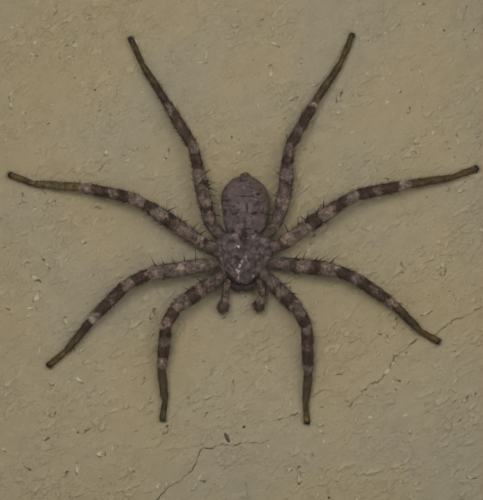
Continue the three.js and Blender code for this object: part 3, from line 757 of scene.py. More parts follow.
NAIL_AROUND = 28
NAIL_POINT = 0.9  # the length of its point
SHANK_RADIUS = 0.45
HEAD_RIM = 0.15  # the head is this thick at its edge, under the dome
HEAD_CHAMFER = (0.08, 0.1)  # across and up
DOME_RISE = 0.25
for side in ("left", "right"):
    nail_low, nail_high = (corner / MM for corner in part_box("hanger_nail_" + side))
    middle = (nail_low + nail_high) / 2
    head_radius = (nail_high.x - nail_low.x) / 2
    under = nail_high.y - DOME_RISE - HEAD_RIM
    outline = [(SHANK_RADIUS * share, nail_low.y + NAIL_POINT * share) for share in (0.1, 0.5, 1.0)]
    outline += [(SHANK_RADIUS, under), (head_radius - HEAD_CHAMFER[0], under)]
    outline += [(head_radius, under + HEAD_CHAMFER[1])]
    outline += [
        (head_radius * math.cos(angle), under + HEAD_RIM + DOME_RISE * math.sin(angle))
        for angle in np.linspace(0, math.pi / 2 - 0.05, 8)
    ]
    points = [
        (middle.x + radius * math.cos(turn), depth, middle.z + radius * math.sin(turn))
        for radius, depth in outline
        for turn in np.linspace(0, 2 * math.pi, NAIL_AROUND, endpoint=False)
    ]
    nail = mesh_from("domed_nail_" + side, points, loft_faces(len(outline), NAIL_AROUND))
    nail.materials.append(steel_finish)
    place_piece(nail, "steel", "hanger_nail_" + side)


# The glue: a dab of clear glue between the belly and the plaster, squeezed flat under the spider.
# It has yellowed and shrunk as it dried, so its edge is ragged and its side drawn in.
glue_low, glue_high = (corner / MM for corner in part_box("glue_dab"))
glue_middle = (glue_low + glue_high) / 2
GLUE_REACH = (glue_high.x - glue_low.x) / 2
GLUE_AROUND = 64
GLUE_RINGS = 14
GLUE_RAGGED = 0.07
GLUE_TAPER = 0.25  # how much narrower it is at the belly, and how far its side is drawn in
GLUE_WAIST = 0.1
points = []
for ring in range(GLUE_RINGS + 1):
    rise = ring / GLUE_RINGS
    depth = glue_high.y + (glue_low.y - glue_high.y) * rise
    narrowed = 1 - GLUE_TAPER * rise - GLUE_WAIST * math.sin(math.pi * rise) ** 2
    for step in range(GLUE_AROUND):
        turn = 2 * math.pi * step / GLUE_AROUND
        across, up = math.cos(turn), math.sin(turn)
        ragged = 1 + GLUE_RAGGED * noise.noise(Vector((across, up, rise)) * 2.2)
        radius = GLUE_REACH * ragged * narrowed
        points.append((glue_middle.x + radius * across, depth, glue_middle.z + radius * up))
glue_mesh = mesh_from("dried_glue", points, loft_faces(GLUE_RINGS + 1, GLUE_AROUND))
glue_finish, tree, shader = finish("dried_glue", 0.22)
clouded = noise_of(tree, object_place(tree), 1.5 * PER_MM, 3.0)
dress(tree, shader, ramp(tree, clouded, (0.3, (156, 138, 96)), (0.7, (188, 172, 130))))
bumped(tree, shader, clouded, 0.05)
glue_mesh.materials.append(glue_finish)
place_piece(glue_mesh, "glue", "glue_dab")


# The spider's legs: eight, spread flat and dried, each one skin from hip to claw with narrow joints.
# Joints are [across, up] in mm from the window's middle: hip, then the far ends of trochanter,
# femur, patella, tibia, metatarsus and tarsus. Pair 1 is next to the head.
LEG_JOINTS = {
    "leg_left_1": [(-1.46, -4.04), (-2.5, -5.0), (-6.68, -7.88), (-7.65, -9.55), (-8.1, -14.15),
                   (-7.78, -17.2), (-8.06, -19.25)],
    "leg_left_2": [(-1.7, -3.17), (-3.1, -3.57), (-9.35, -4.5), (-11.6, -5.62), (-14.9, -8.88),
                   (-17.6, -12.2), (-19.56, -13.8)],
    "leg_left_3": [(-1.7, -1.95), (-3.65, -1.73), (-9.33, 2.15), (-11.28, 3.1), (-16.1, 4.12),
                   (-20.9, 4.47), (-23.45, 5.42)],
    "leg_left_4": [(-1.5, -1.15), (-3.2, 0.25), (-4.47, 6.02), (-4.95, 8.12), (-7.62, 12.51),
                   (-10.03, 16.33), (-11.3, 19.15)],
    "leg_right_1": [(1.48, -3.96), (2.38, -4.91), (5.5, -8.08), (6.34, -9.75), (6.52, -14.45),
                    (6.23, -17.55), (6.43, -19.55)],
    "leg_right_2": [(1.9, -3.2), (3.2, -3.43), (9.2, -4.15), (11.45, -5.1), (15.0, -7.53),
                    (17.73, -10.27), (19.7, -11.38)],
    "leg_right_3": [(1.8, -1.85), (3.65, -1.73), (9.6, 2.38), (11.35, 3.36), (16.47, 4.38),
                    (20.9, 5.09), (23.5, 6.08)],
    "leg_right_4": [(1.8, -1.05), (3.25, 0.25), (4.35, 6.35), (4.7, 8.25), (7.15, 12.58),
                    (9.75, 16.48), (11.0, 19.52)],
}
JOINT_HEIGHTS = [1.1, 1.2, 1.75, 1.7, 1.0, 0.5, 0.32]
FOOT_CLEARANCE = 0.03
# Widths of each stretch between two joints: near its start, at its middle and near its end
LEG_WIDTHS = [
    (1.15, 1.15, 1.15), (1.25, 1.45, 1.35), (1.15, 1.15, 1.15),
    (1.15, 1.1, 0.98), (0.82, 0.78, 0.68), (0.56, 0.6, 0.62),
]
LEG_PAIR_SCALE = {"1": 1.04, "2": 1.03, "3": 1.0, "4": 0.96}
FEMUR_BOW = {"leg_right_4": 0.3, "leg_left_4": 0.08}
JOINT_PINCH = 0.84
KNUCKLE = 0.3
LEG_FLATNESS = 0.88
LEG_STEP = 0.09
LEG_SIDES = 24
LEG_BEND = 0.2  # mm over which a bend at a joint is eased, and a change of width
LEG_SWELL = 0.08
CLAW_TIP = (0.25, 0.94)  # the length that the tip narrows over, and how nearly to a point
# Each leg's bands from the hip: what colour, and how far in mm it runs
LEG_BANDS = {
    "leg_left_1": "mid 2.8 dark 3.15 light 3.95 dark 5.25 pale 6.6 dark 7.9 pale 8.8 dark 10 mid 10.5 "
                  "dark 12 light 13 bark 18.3",
    "leg_right_1": "mid 2.6 dark 3.1 pale 3.85 dark 5 mid 6.3 dark 7.6 mid 8.35 dark 9.5 mid 10 "
                   "dark 11.4 mid 12.35 bark 15.4 olive 17.5",
    "leg_left_2": "mid 2.45 pale 3.4 mid 4.1 cream 5 mid 6.6 pale 8 dark 9.5 pale 10.65 dark 12.1 "
                  "mid 12.6 dark 14.35 cream 15.45 dark 17.2 brown 19.3 olive 21.8",
    "leg_right_2": "mid 2.95 dark 3.65 light 4.8 dark 6.05 pale 7.5 dark 9 mid 9.9 dark 11.4 mid 11.9 "
                   "dark 13.3 pale 14.4 bark 18 olive 20.3",
    "leg_left_3": "mid 2 dark 2.35 pale 3 mid 4.2 light 5.4 umber 6.1 dark 6.9 light 8.3 dark 9.5 "
                  "pale 10.95 dark 12.2 mid 13.2 dark 15 pale 16.05 tan 20.7 olive 23.6",
    "leg_right_3": "mid 2 dark 2.5 cream 3.35 light 5.55 dark 7 pale 8.45 dark 10 light 11.15 "
                   "dark 12.8 mid 13.4 dark 15.3 cream 16.35 brown 20.9 olive 23.7",
    "leg_left_4": "mid 2.2 dark 2.6 mid 3.6 dark 4.3 light 5.1 mid 6.3 dark 6.75 pale 8 dark 9.35 "
                  "light 10.55 dark 12 umber 13 dark 14.35 mid 15.3 dark 17.3 bark 23.1",
    "leg_right_4": "mid 3.95 pale 4.9 mid 6.2 dark 6.65 pale 7.55 mid 8 dark 9 mid 10.1 "
                   "dark 11.5 mid 12.4 dark 14.35 cream 15.2 brown 19.7 dusk 23.1",
}
BAND_COLOURS = {
    "cream": linear(136, 118, 103), "pale": linear(119, 101, 88), "light": linear(112, 95, 83),
    "mid": linear(98, 82, 73), "tan": linear(99, 81, 52), "bark": linear(68, 53, 32),
    "dark": linear(67, 48, 38), "brown": linear(79, 62, 38), "olive": linear(82, 64, 36),
    "dusk": linear(84, 66, 30), "umber": linear(80, 64, 50),
}
CLAW_COLOUR = linear(46, 38, 29)
CLAW_LENGTH = 0.5
CLAW_FADE = 0.3
CLAW_FUR = 2.0  # how much thicker the hairs stand around the claw
FUR_LENGTHS = [1.0, 0.95, 0.75, 0.6]  # at the hip, and at each joint from the tibia's far end
SPINE_LIFT = 0.22
SPINE_BROWN = linear(46, 34, 26)
HIP_SHADE = ([0.8, 2.2], [0.78, 1.0])  # painted shade on the legs near the hip, where they come out from under the carapace
BAND_JAG = 0.54
BAND_BLUR = 0.07
# Stiff spines on the rear edge: how far from the hip, and which way each leans, which is towards
# the claw (positive) or the hip
LEG_SPINES = {
    "leg_left_1": [(2.9, 0.4), (4.3, 0.9)],
    "leg_right_1": [(2.8, 0.5), (4.0, 1.0)],
    "leg_left_2": [(3.0, 0.0), (4.1, 0.1), (5.1, 0.5), (6.1, 0.5), (6.9, 0.6)],
    "leg_right_2": [(3.2, 0.5), (4.1, 0.0), (5.2, 0.4), (5.5, 0.7), (6.7, 0.6)],
    "leg_left_3": [(3.2, -0.3), (4.0, 0.0), (5.3, -0.5), (5.4, 0.5), (7.2, -0.4), (7.2, 0.6)],
    "leg_right_3": [(3.3, 0.0), (4.5, 0.4), (5.5, -0.5), (5.6, 0.5), (7.5, 0.6)],
    "leg_left_4": [(3.3, -0.4), (4.4, -0.3), (5.1, 0.1), (6.1, 0.5), (6.1, -0.5), (6.8, -0.4),
                   (7.4, 0.5)],
    "leg_right_4": [(2.9, -0.3), (4.8, 0.1), (7.0, 0.6)],
}
SPINE_LENGTH = 1.3
SPINE_RADIUS = 0.068
SPINE_ROOT = (0.36, 0.18)  # how far its root is rearward and up, in leg widths
SPINE_CURVE = 0.12


def soften(values, reach):
    """Values along a line, each averaged with its neighbours, with the ends kept."""
    span = int(3 * reach) + 1
    weights = np.exp(-0.5 * (np.arange(-span, span + 1) / reach) ** 2)
    weights /= weights.sum()
    lead = 2 * values[:1] - values[span:0:-1]
    trail = 2 * values[-1:] - values[-2:-span - 2:-1]
    padded = np.concatenate([lead, values, trail])
    if padded.ndim == 1:
        return np.convolve(padded, weights, "valid")
    return np.stack([np.convolve(column, weights, "valid") for column in padded.T], axis=1)


def limb_line(joints, step):
    """A line through a limb's joints: its points, how far along each is, and how far each joint is."""
    joints = np.array(joints, float)
    marks = np.concatenate([[0], np.cumsum(np.linalg.norm(np.diff(joints, axis=0), axis=1))])
    away = np.linspace(0, marks[-1], int(marks[-1] / step))
    line = np.stack([np.interp(away, marks, column) for column in joints.T], axis=1)
    return line, away, marks


def rounded_tip(widths, away, length, sharpness):
    """A limb's widths, narrowed in a round over its last stretch."""
    left = np.clip((away[-1] - away) / length, 0, 1)
    return widths * np.sqrt(1 - (1 - left) ** 2 * sharpness)


def leg_route(name):
    """The line down a leg's middle: points, their distance from the hip, and each joint's distance."""
    heights = [height + FOOT_CLEARANCE for height in JOINT_HEIGHTS]
    joints = [(x, y, z) for (x, y), z in zip(LEG_JOINTS[name], heights)]
    route, away, marks = limb_line(joints, LEG_STEP)
    femur_share = np.clip((away - marks[1]) / (marks[2] - marks[1]), 0, 1)
    outward = np.sign(joints[1][0])
    route[:, 0] += outward * FEMUR_BOW.get(name, 0) * np.sin(math.pi * femur_share)
    return soften(route, LEG_BEND / LEG_STEP), away, marks


def leg_widths(away, marks, scale):
    """A leg's width at each distance: full along each stretch and pinched at the joints."""
    at, width = [], []
    for k, (first, middle, last) in enumerate(LEG_WIDTHS):
        before = LEG_WIDTHS[max(k - 1, 0)][2]
        at += [marks[k], marks[k] + KNUCKLE, (marks[k] + marks[k + 1]) / 2, marks[k + 1] - KNUCKLE]
        width += [min(first, before) * JOINT_PINCH, first, middle, last]
    at.append(marks[-1])
    width.append(LEG_WIDTHS[-1][2])
    widths = soften(np.interp(away, at, width), LEG_SWELL / LEG_STEP) * scale
    return rounded_tip(widths, away, *CLAW_TIP)


def tube_rings(route, widths):
    """Rings of points around a limb's line, with the way along it and the way out at each point."""
    along = np.gradient(route, axis=0)
    along /= np.linalg.norm(along, axis=1)[:, None]
    side = np.cross([0, 0, 1.0], along)
    side /= np.linalg.norm(side, axis=1)[:, None]
    top = np.cross(along, side)
    turns = np.linspace(0, 2 * math.pi, LEG_SIDES, endpoint=False)
    across = np.cos(turns)[None, :, None] * side[:, None] * widths[:, None, None] / 2
    upward = np.sin(turns)[None, :, None] * top[:, None] * widths[:, None, None] * LEG_FLATNESS / 2
    out = (across + upward).reshape(-1, 3)
    points = np.repeat(route, LEG_SIDES, axis=0) + out
    return points, np.repeat(along, LEG_SIDES, axis=0), out / np.linalg.norm(out, axis=1)[:, None]


def relief(points, *layers):
    """Layers of noise added up: each its waves per mm, octaves, shift and height in mm."""
    return sum(height * cloud(points, waves, octaves, shift) for waves, octaves, shift, height in layers)


def stand_up(points):
    """Turns points or directions of the spider's lying plane up against the panel."""
    return np.stack([points[:, 0], -points[:, 2], points[:, 1]], axis=1)


def on_panel(points):
    return stand_up(points) + np.array([0, BACKING, MIDDLE])


def band_colours(bands, away, blur):
    """The colour of a limb's skin at each distance from its root, blurred this far both ways."""
    words = bands.split()
    ends = np.array([float(word) for word in words[1::2]])
    colours = np.array([BAND_COLOURS[word] for word in words[0::2]])
    picks = [np.searchsorted(ends, away + shift) for shift in (-blur, 0, blur)]
    return np.mean([colours[np.minimum(pick, len(ends) - 1)] for pick in picks], axis=0)


def mottle(tint, points, waves, shift, depth, palest=1.6):
    """Makes a skin's colours unevenly darker and paler."""
    tint[:, :3] *= np.clip(1 + depth * cloud(points, waves, 3, shift), 0.4, palest)[:, None]


def stained(tint, colour, share):
    """Colours brought towards another by a share for each point."""
    share = share[:, None]
    return tint * (1 - share) + np.array(colour) * share


def cuticle_finish(name, roughness, gloss, blotched, flecked):
    """Dried cuticle: the colour painted on it, broken into small blotches, over a pitted skin."""
    material, tree, shader = finish(name, roughness, Specular_IOR_Level=gloss)
    place = object_place(tree)
    blotches = noise_of(tree, place, 1.7 * PER_MM, 4.0, 0.6)
    flecks = noise_of(tree, place, 4.6 * PER_MM, 3.0, 0.6)
    pits = noise_of(tree, place, 13.0 * PER_MM, 2.0, 0.5)
    skin = stored(tree, "tint", "Color")
    skin = toned(tree, blotched, skin, blotches, (0.34, 0.5), (0.5, 0.98), (0.64, 1.45))
    skin = toned(tree, flecked, skin, flecks, (0.36, 0.4), (0.48, 1.0), (0.66, 1.5))
    skin = toned(tree, 0.35, skin, pits, (0.35, 0.5), (0.65, 1.2))
    dress(tree, shader, skin, ramp(tree, pits, (0.3, roughness + 0.1), (0.7, roughness - 0.1)))
    bumped(tree, shader, mixed(tree, 0.5, flecks, pits), 0.06, 0.8)
    return material


def hair_finish():
    """Hairs take the colour of the skin under them, some paler and some darker than it."""
    material, tree, shader = finish("spider_hair", 0.6, Specular_IOR_Level=0.2)
    tufts = noise_of(tree, object_place(tree), 1.3 * PER_MM, 3.0, 0.6)
    tint = stored(tree, "tint", "Color")
    tint = toned(tree, 1.0, tint, stored(tree, "shade"), (0.0, 0.35), (0.5, 0.7), (0.8, 1.1), (1.0, 1.9))
    dress(tree, shader, toned(tree, 1.0, tint, tufts, (0.38, 0.6), (0.5, 1.0), (0.64, 1.6)))
    return material


def bristle(tree, sides, segments, radius, length):
    """A tapered bristle that stands on its root, and how far up it each of its points is."""
    values = {
        "Vertices": sides, "Side Segments": segments, "Radius Top": 0.0, "Radius Bottom": radius,
        "Depth": length,
    }
    cone = add(tree, "GeometryNodeMeshCone", values, fill_type="NGON").outputs[0]
    spot = add(tree, "GeometryNodeInputPosition").outputs[0]
    return cone, add(tree, "ShaderNodeSeparateXYZ", {0: spot}).outputs[2]


def bent(tree, shape, sideways):
    """A shape whose points are moved sideways."""
    shove = add(tree, "ShaderNodeCombineXYZ", {0: sideways}).outputs[0]
    return add(tree, "GeometryNodeSetPosition", {"Geometry": shape, "Offset": shove}).outputs[0]


def coat_tree():
    """Hairs strewn over a skin: each leans towards the limb's tip and bends back down to the skin."""
    tree, given, out = node_tree(
        "hair_coat", ("Density", "Float"), ("Length", "Float"), ("Thickness", "Float"), ("Lean", "Float"),
        ("Spread", "Float"), ("Bend", "Float"), ("Seed", "Int"), ("Hair", "Material"),
    )
    roots, away = strewn_points(tree, given, "furry", "shade", 1)
    along = attribute_in(tree, "tipward", "FLOAT_VECTOR")
    upright = vectors(tree, "SCALE", away, sums(tree, "SUBTRACT", 1.0, given["Lean"]))
    heading = vectors(tree, "ADD", upright, vectors(tree, "SCALE", along, given["Lean"]))
    stray = random_in(tree, (-1.0, -1.0, -1.0), (1.0, 1.0, 1.0), 2, "FLOAT_VECTOR")
    heading = vectors(tree, "ADD", heading, vectors(tree, "SCALE", stray, given["Spread"]))
    pointed = add(tree, "FunctionNodeAlignRotationToVector", {"Vector": heading}, axis="Z").outputs[0]
    rolled = add(
        tree, "FunctionNodeAlignRotationToVector", {"Rotation": pointed, "Vector": away},
        axis="X", pivot_axis="Z",
    ).outputs[0]
    strand, height = bristle(tree, 3, 3, given["Thickness"], given["Length"])
    droop = sums(tree, "DIVIDE", sums(tree, "MULTIPLY", height, height), given["Length"])
    droop = sums(tree, "MULTIPLY", sums(tree, "MULTIPLY", droop, given["Bend"]), -1.0)
    size = sums(tree, "MULTIPLY", random_in(tree, 0.55, 1.25, 3), attribute_in(tree, "shaggy"))
    hairs = set_on(tree, roots, bent(tree, strand, droop), rolled, size, given["Hair"])
    joined = add(tree, "GeometryNodeJoinGeometry")
    tree.links.new(hairs, joined.inputs[0])
    tree.links.new(given["Shape"], joined.inputs[0])
    tree.links.new(joined.outputs[0], out["Shape"])
    return tree


def spine_tree():
    """A stiff, slightly curved spine at each loose point, turned the way that the point says."""
    tree, given, out = node_tree("leg_spines", ("Length", "Float"), ("Radius", "Float"), ("Skin", "Material"))
    spine, height = bristle(tree, 8, 6, given["Radius"], given["Length"])
    spine = bent(tree, spine, sums(tree, "MULTIPLY", sums(tree, "MULTIPLY", height, height), SPINE_CURVE))
    heading = attribute_in(tree, "heading", "FLOAT_VECTOR")
    turn = add(tree, "FunctionNodeAlignRotationToVector", {"Vector": heading}, axis="Z").outputs[0]
    spines = set_on(tree, given["Shape"], spine, turn, random_in(tree, 0.8, 1.12, 7), given["Skin"])
    tree.links.new(spines, out["Shape"])
    return tree


def furred(mesh, skin, coat_values, seed, tint, tipward, furry, shaggy=1.0):
    """A skin with its colours and hairs: furry and shaggy are shares of the coat's density and length."""
    give(mesh, "tint", tint)
    give(mesh, "tipward", stand_up(tipward))
    give(mesh, "furry", furry)
    give(mesh, "shaggy", np.full(len(tint), shaggy))
    mesh.materials.append(skin)
    return run_tree(mesh, coat, Seed=seed, Hair=hair, **coat_values)


cuticle = cuticle_finish("leg_cuticle", 0.65, 0.15, 0.8, 0.8)
hair = hair_finish()
coat = coat_tree()
spines_tree = spine_tree()
LEG_COAT = {"Density": 22.0, "Length": 0.56, "Thickness": 0.02, "Lean": 0.5, "Spread": 0.35, "Bend": 0.25}

for seed, name in enumerate(LEG_JOINTS):
    _, side, pair = name.split("_")
    route, away, marks = leg_route(name)
    widths = leg_widths(away, marks, LEG_PAIR_SCALE[pair])
    points, along, out = tube_rings(route, widths)
    points += out * relief(points, (1.6, 3, 5.0 * seed, 0.035), (5.0, 2, 7.0 * seed, 0.012))[:, None]
    leg_mesh = mesh_from(name + "_skin", on_panel(points), loft_faces(len(route), LEG_SIDES))
    far = np.repeat(away, LEG_SIDES)
    jagged = far + cloud(points, 1.6, 3, 3.0 * seed) * BAND_JAG
    tint = band_colours(LEG_BANDS[name], jagged, BAND_BLUR)
    mottle(tint, points, 2.0, 13.0 * seed, 0.5, 1.8)
    tint[:, :3] *= np.interp(far, *HIP_SHADE)[:, None]
    claw = np.clip((far - marks[-1] + CLAW_LENGTH) / CLAW_FADE, 0, 1)
    tint = stained(tint, CLAW_COLOUR, claw)
    shaggy = np.interp(far, [0, *marks[4:]], FUR_LENGTHS)
    leg_mesh = furred(leg_mesh, cuticle, LEG_COAT, seed, tint, along, 1 + CLAW_FUR * claw, shaggy)
    place_piece(leg_mesh, "spider_leg", name)

    rearward = -1 if side == "left" else 1
    roots, headings = [], []
    for distance, lean in LEG_SPINES[name]:
        k = int(np.argmin(np.abs(away - distance)))
        ahead = route[k + 1] - route[k - 1]
        ahead /= np.linalg.norm(ahead)
        rear = np.array([-ahead[1], ahead[0], 0.0]) * rearward
        heading = rear + np.array([0, 0, SPINE_LIFT]) + lean * ahead
        rear_share, up_share = SPINE_ROOT
        roots.append(route[k] + rear * widths[k] * rear_share + np.array([0, 0, widths[k] * up_share]))
        headings.append(heading / np.linalg.norm(heading))
    spine_roots = mesh_from(name + "_spines", on_panel(np.array(roots)), [])
    give(spine_roots, "heading", stand_up(np.array(headings)))
    spine_mesh = run_tree(spine_roots, spines_tree, Length=SPINE_LENGTH, Radius=SPINE_RADIUS, Skin=cuticle)
    give(spine_mesh, "tint", [SPINE_BROWN] * len(spine_mesh.vertices))
    place_piece(spine_mesh, "spider_leg")


# The pedipalps: two short banded feelers beside the jaws, each thickest near its bristly end.
# They are joined to the body under the front edge of the carapace.
PALP_JOINTS = {
    "pedipalp_left": [(-1.26, -5.02, 1.3), (-1.6, -5.6, 1.34), (-1.76, -6.15, 1.35), (-1.8, -7.15, 1.15),
                      (-2.0, -7.8, 0.95), (-2.12, -8.42, 0.8)],
    "pedipalp_right": [(1.3, -5.02, 1.3), (1.8, -5.6, 1.34), (1.93, -6.15, 1.35), (1.82, -7.1, 1.15),
                       (1.58, -7.65, 0.95), (1.45, -8.25, 0.8)],
}
PALP_WIDTHS = [0.62, 0.7, 0.76, 0.86, 1.2, 0.92]
# The bands as on the legs
PALP_BANDS = "dark 0.45 mid 0.85 umber 1.25 mid 1.5 dark 1.75 mid 2.05 light 2.4 umber 4"
PALP_STEP = 0.06
PALP_BEND = 0.22
PALP_SWELL = 0.2
PALP_NECK = (0.14, 0.13)  # how much narrower it is at its two middle joints, and over what length
PALP_TIP = (0.42, 0.97)
PALP_FUR = ([1.8, 2.6], [0.4, 1.7])  # the hairs stand thicker towards the end
PALP_COAT = {"Density": 18.0, "Length": 0.5, "Thickness": 0.02, "Lean": 0.42, "Spread": 0.45, "Bend": 0.2}

for seed, (name, joints) in enumerate(PALP_JOINTS.items()):
    route, away, marks = limb_line(joints, PALP_STEP)
    route = soften(route, PALP_BEND / PALP_STEP)
    widths = soften(np.interp(away, marks, PALP_WIDTHS), PALP_SWELL / PALP_STEP)
    neck_depth, neck_length = PALP_NECK
    for mark in marks[2:4]:
        widths *= 1 - neck_depth * np.exp(-(((away - mark) / neck_length) ** 2))
    points, along, out = tube_rings(route, rounded_tip(widths, away, *PALP_TIP))
    points += out * relief(points, (1.8, 3, 31.0 + seed, 0.04))[:, None]
    palp_mesh = mesh_from(name + "_skin", on_panel(points), loft_faces(len(route), LEG_SIDES))
    far = np.repeat(away, LEG_SIDES)
    jagged = far + cloud(points, 2.2, 2, 43.0 + seed) * BAND_JAG
    tint = band_colours(PALP_BANDS, jagged, 0)
    furry = np.interp(far, *PALP_FUR)
    palp_mesh = furred(palp_mesh, cuticle, PALP_COAT, 20 + seed, tint, along, furry)
    place_piece(palp_mesh, "spider_leg", name)


# The cephalothorax: one hard shield over the head and chest, flat and nearly round, narrower at the
# jaws. The head stands a little higher, and a groove and faint rays mark where muscles hold inside.
CARAPACE = {
    "rear": -0.38, "front": -5.68, "middle_across": 0.0, "middle_height": 1.25,
    "half_widths": [1.5, 1.76, 2.3, 2.86, 3.0, 2.85, 2.4],
    "top_rise": 1.05, "belly_drop": 0.85, "front_fullness": 3.7, "rear_fullness": 5.0,
}
# How wide the head's pale front is on each side, at distances down the body from the window's middle
BROW_REACH = ([4.2, 4.6, 5.0, 5.35, 5.65], [1.9, 1.4, 1.0, 0.62, 0.1])
BROW_MIDDLE = 0.08
BROW_FADE = 0.14
HEAD_RISE = 0.16
HEAD_PLACE = (-4.75, 0.95, 1.14)  # where its middle is up the body, its half length and half width
FOVEA = (-1.9, 0.75, 0.28)
FOVEA_DEPTH = 0.22
RAYS = 8
RAY_DEPTH = 0.05
RAY_START = 0.5
BODY_AROUND = 150
BODY_ALONG = 110
POLE = 0.0004  # the small angle left open at each end of a body part, under its end face
GREY_BROWN = linear(90, 76, 73)
SHADOW = linear(46, 35, 31)
DOWN = linear(148, 134, 126)
WHITE_DOWN = linear(186, 177, 171)
# Marks on the shield: across, up, half width, half length, turn, colour and strength of each
CARAPACE_MARKS = [
    (0.05, -0.9, 0.3, 0.55, 0, SHADOW, 0.85), (-0.76, -0.76, 0.22, 0.28, 20, DOWN, 0.8),
    (1.06, -0.76, 0.2, 0.28, -20, DOWN, 0.8), (-0.47, -1.8, 0.12, 0.15, 0, WHITE_DOWN, 1.0),
    (0.29, -2.8, 0.08, 0.3, -8, WHITE_DOWN, 0.6), (-0.07, -3.25, 0.09, 0.26, -12, WHITE_DOWN, 0.7),
    (-0.36, -3.8, 0.09, 0.36, -42, WHITE_DOWN, 0.75), (-2.17, -2.13, 0.1, 0.2, 20, DOWN, 0.7),
    (-2.15, -3.1, 0.07, 0.3, 15, DOWN, 0.5), (-1.1, -4.1, 0.06, 0.4, 35, DOWN, 0.4),
    (-0.46, -4.85, 0.08, 0.6, 0, WHITE_DOWN, 0.6), (-0.62, -4.1, 0.06, 0.4, 0, DOWN, 0.5),
    (3.0, -1.6, 0.2, 0.2, 0, DOWN, 0.4), (1.0, -4.8, 0.14, 0.14, 0, DOWN, 0.7),
    (0.87, -4.3, 0.32, 0.26, 0, SHADOW, 0.5), (0.87, -4.3, 0.14, 0.12, 0, GREY_BROWN, 0.8),
    (0.1, -5.65, 1.5, 0.2, 0, SHADOW, 0.9), (-1.5, -2.4, 0.16, 0.8, 60, SHADOW, 0.45),
    (1.6, -2.4, 0.16, 0.8, -60, SHADOW, 0.45), (-1.3, -1.3, 0.14, 0.7, -50, SHADOW, 0.4),
    (1.5, -1.4, 0.14, 0.7, 50, SHADOW, 0.4), (-1.3, -3.5, 0.14, 0.6, 30, SHADOW, 0.4),
    (1.25, -3.4, 0.14, 0.6, -30, SHADOW, 0.4), (2.0, -1.2, 0.3, 0.25, 0, DOWN, 0.4),
    (-1.9, -1.5, 0.3, 0.25, 0, DOWN, 0.35), (0.05, -3.9, 0.16, 0.5, 0, SHADOW, 0.3),
]
MARK_FADE = ([0.75, 1.25], [1, 0])  # a mark is full to three quarters of its reach, and then fades
SPECK_FADE = ([0.12, 0.26], [0, 1])
CARAPACE_COAT = {
    "Density": 46.0, "Length": 0.34, "Thickness": 0.019, "Lean": 0.7, "Spread": 0.45, "Bend": 0.25,
}


def curve_through(values, shares):
    """A smooth curve through values at even steps, read at shares from 0 to 1."""
    place = np.clip(shares, 0, 1) * (len(values) - 1)
    first = np.minimum(place.astype(int), len(values) - 2)
    t = place - first
    v = np.array(values, float)
    p0, p1 = v[np.maximum(first - 1, 0)], v[first]
    p2, p3 = v[first + 1], v[np.minimum(first + 2, len(v) - 1)]
    return 0.5 * (2 * p1 + (p2 - p0) * t + (2 * p0 - 5 * p1 + 4 * p2 - p3) * t**2
                  + (3 * p1 - p0 - 3 * p2 + p3) * t**3)


def body_points(part):
    """Rings of points over a rounded body part from front to rear, and how much each faces up."""
    y = -np.cos(np.linspace(POLE, math.pi - POLE, BODY_ALONG))
    turns = np.linspace(0, 2 * math.pi, BODY_AROUND, endpoint=False)
    power = np.where(y < 0, part["front_fullness"], part["rear_fullness"])
    fullness = (1 - np.abs(y) ** power) ** (1 / power)
    half_width = curve_through(part["half_widths"], (y + 1) / 2) * fullness
    sideways, upward = np.cos(turns), np.sin(turns)
    reach = np.where(upward > 0, part["top_rise"], part["belly_drop"])
    middle = (part["rear"] + part["front"]) / 2
    half = (part["rear"] - part["front"]) / 2
    x = part["middle_across"] + half_width[:, None] * sideways[None, :]
    z = part["middle_height"] + np.sqrt(fullness)[:, None] * (upward * reach)[None, :]
    along = np.repeat((middle + y * half)[:, None], BODY_AROUND, axis=1)
    faces_up = np.repeat(upward[None, :], BODY_ALONG, axis=0)
    return np.stack([x.ravel(), along.ravel(), z.ravel()], axis=1), faces_up.ravel()


def bump_at(x, y, middle, half_length, half_width):
    """A smooth hump of height 1 on the body's middle line."""
    return np.exp(-(((y - middle) / half_length) ** 2) - (x / half_width) ** 2)


def paint(tint, x, y, marks, jag):
    """Lays soft-edged marks on a skin, with their edges jagged by noise."""
    for across, up, half_width, half_length, turn, colour, strength in marks:
        c, s = math.cos(math.radians(turn)), math.sin(math.radians(turn))
        u = (x - across) * c + (y - up) * s
        v = -(x - across) * s + (y - up) * c
        reach = np.sqrt((u / half_width) ** 2 + (v / half_length) ** 2) + jag
        tint = stained(tint, colour, strength * np.interp(reach, *MARK_FADE))
    return tint


def speckle(tint, points, waves, shift, dark, pale):
    """Scatters small dark and pale flecks over a skin, as bare spots and tufts of down."""
    for step, colour, strength in ((0.0, SHADOW, dark), (3.0, DOWN, pale)):
        fleck = np.interp(cloud(points, waves, 2, shift + step), *SPECK_FADE)
        tint = stained(tint, colour, strength * fleck)
    return tint


def body_piece(name, node, points, faces_up, tint, skin, coat_values, seed, fan):
    """A body part's skin in place of its CAD node, its hairs lying rearward and fanned outwards."""
    mesh = mesh_from(name, on_panel(points), loft_faces(BODY_ALONG, BODY_AROUND))
    across = points[:, 0]
    rearward = np.stack([across * fan, np.ones(len(points)), np.zeros(len(points))], axis=1)
    mesh = furred(mesh, skin, coat_values, seed, tint, rearward, np.clip(faces_up + 0.35, 0, 1))
    place_piece(mesh, "spider_body", node)


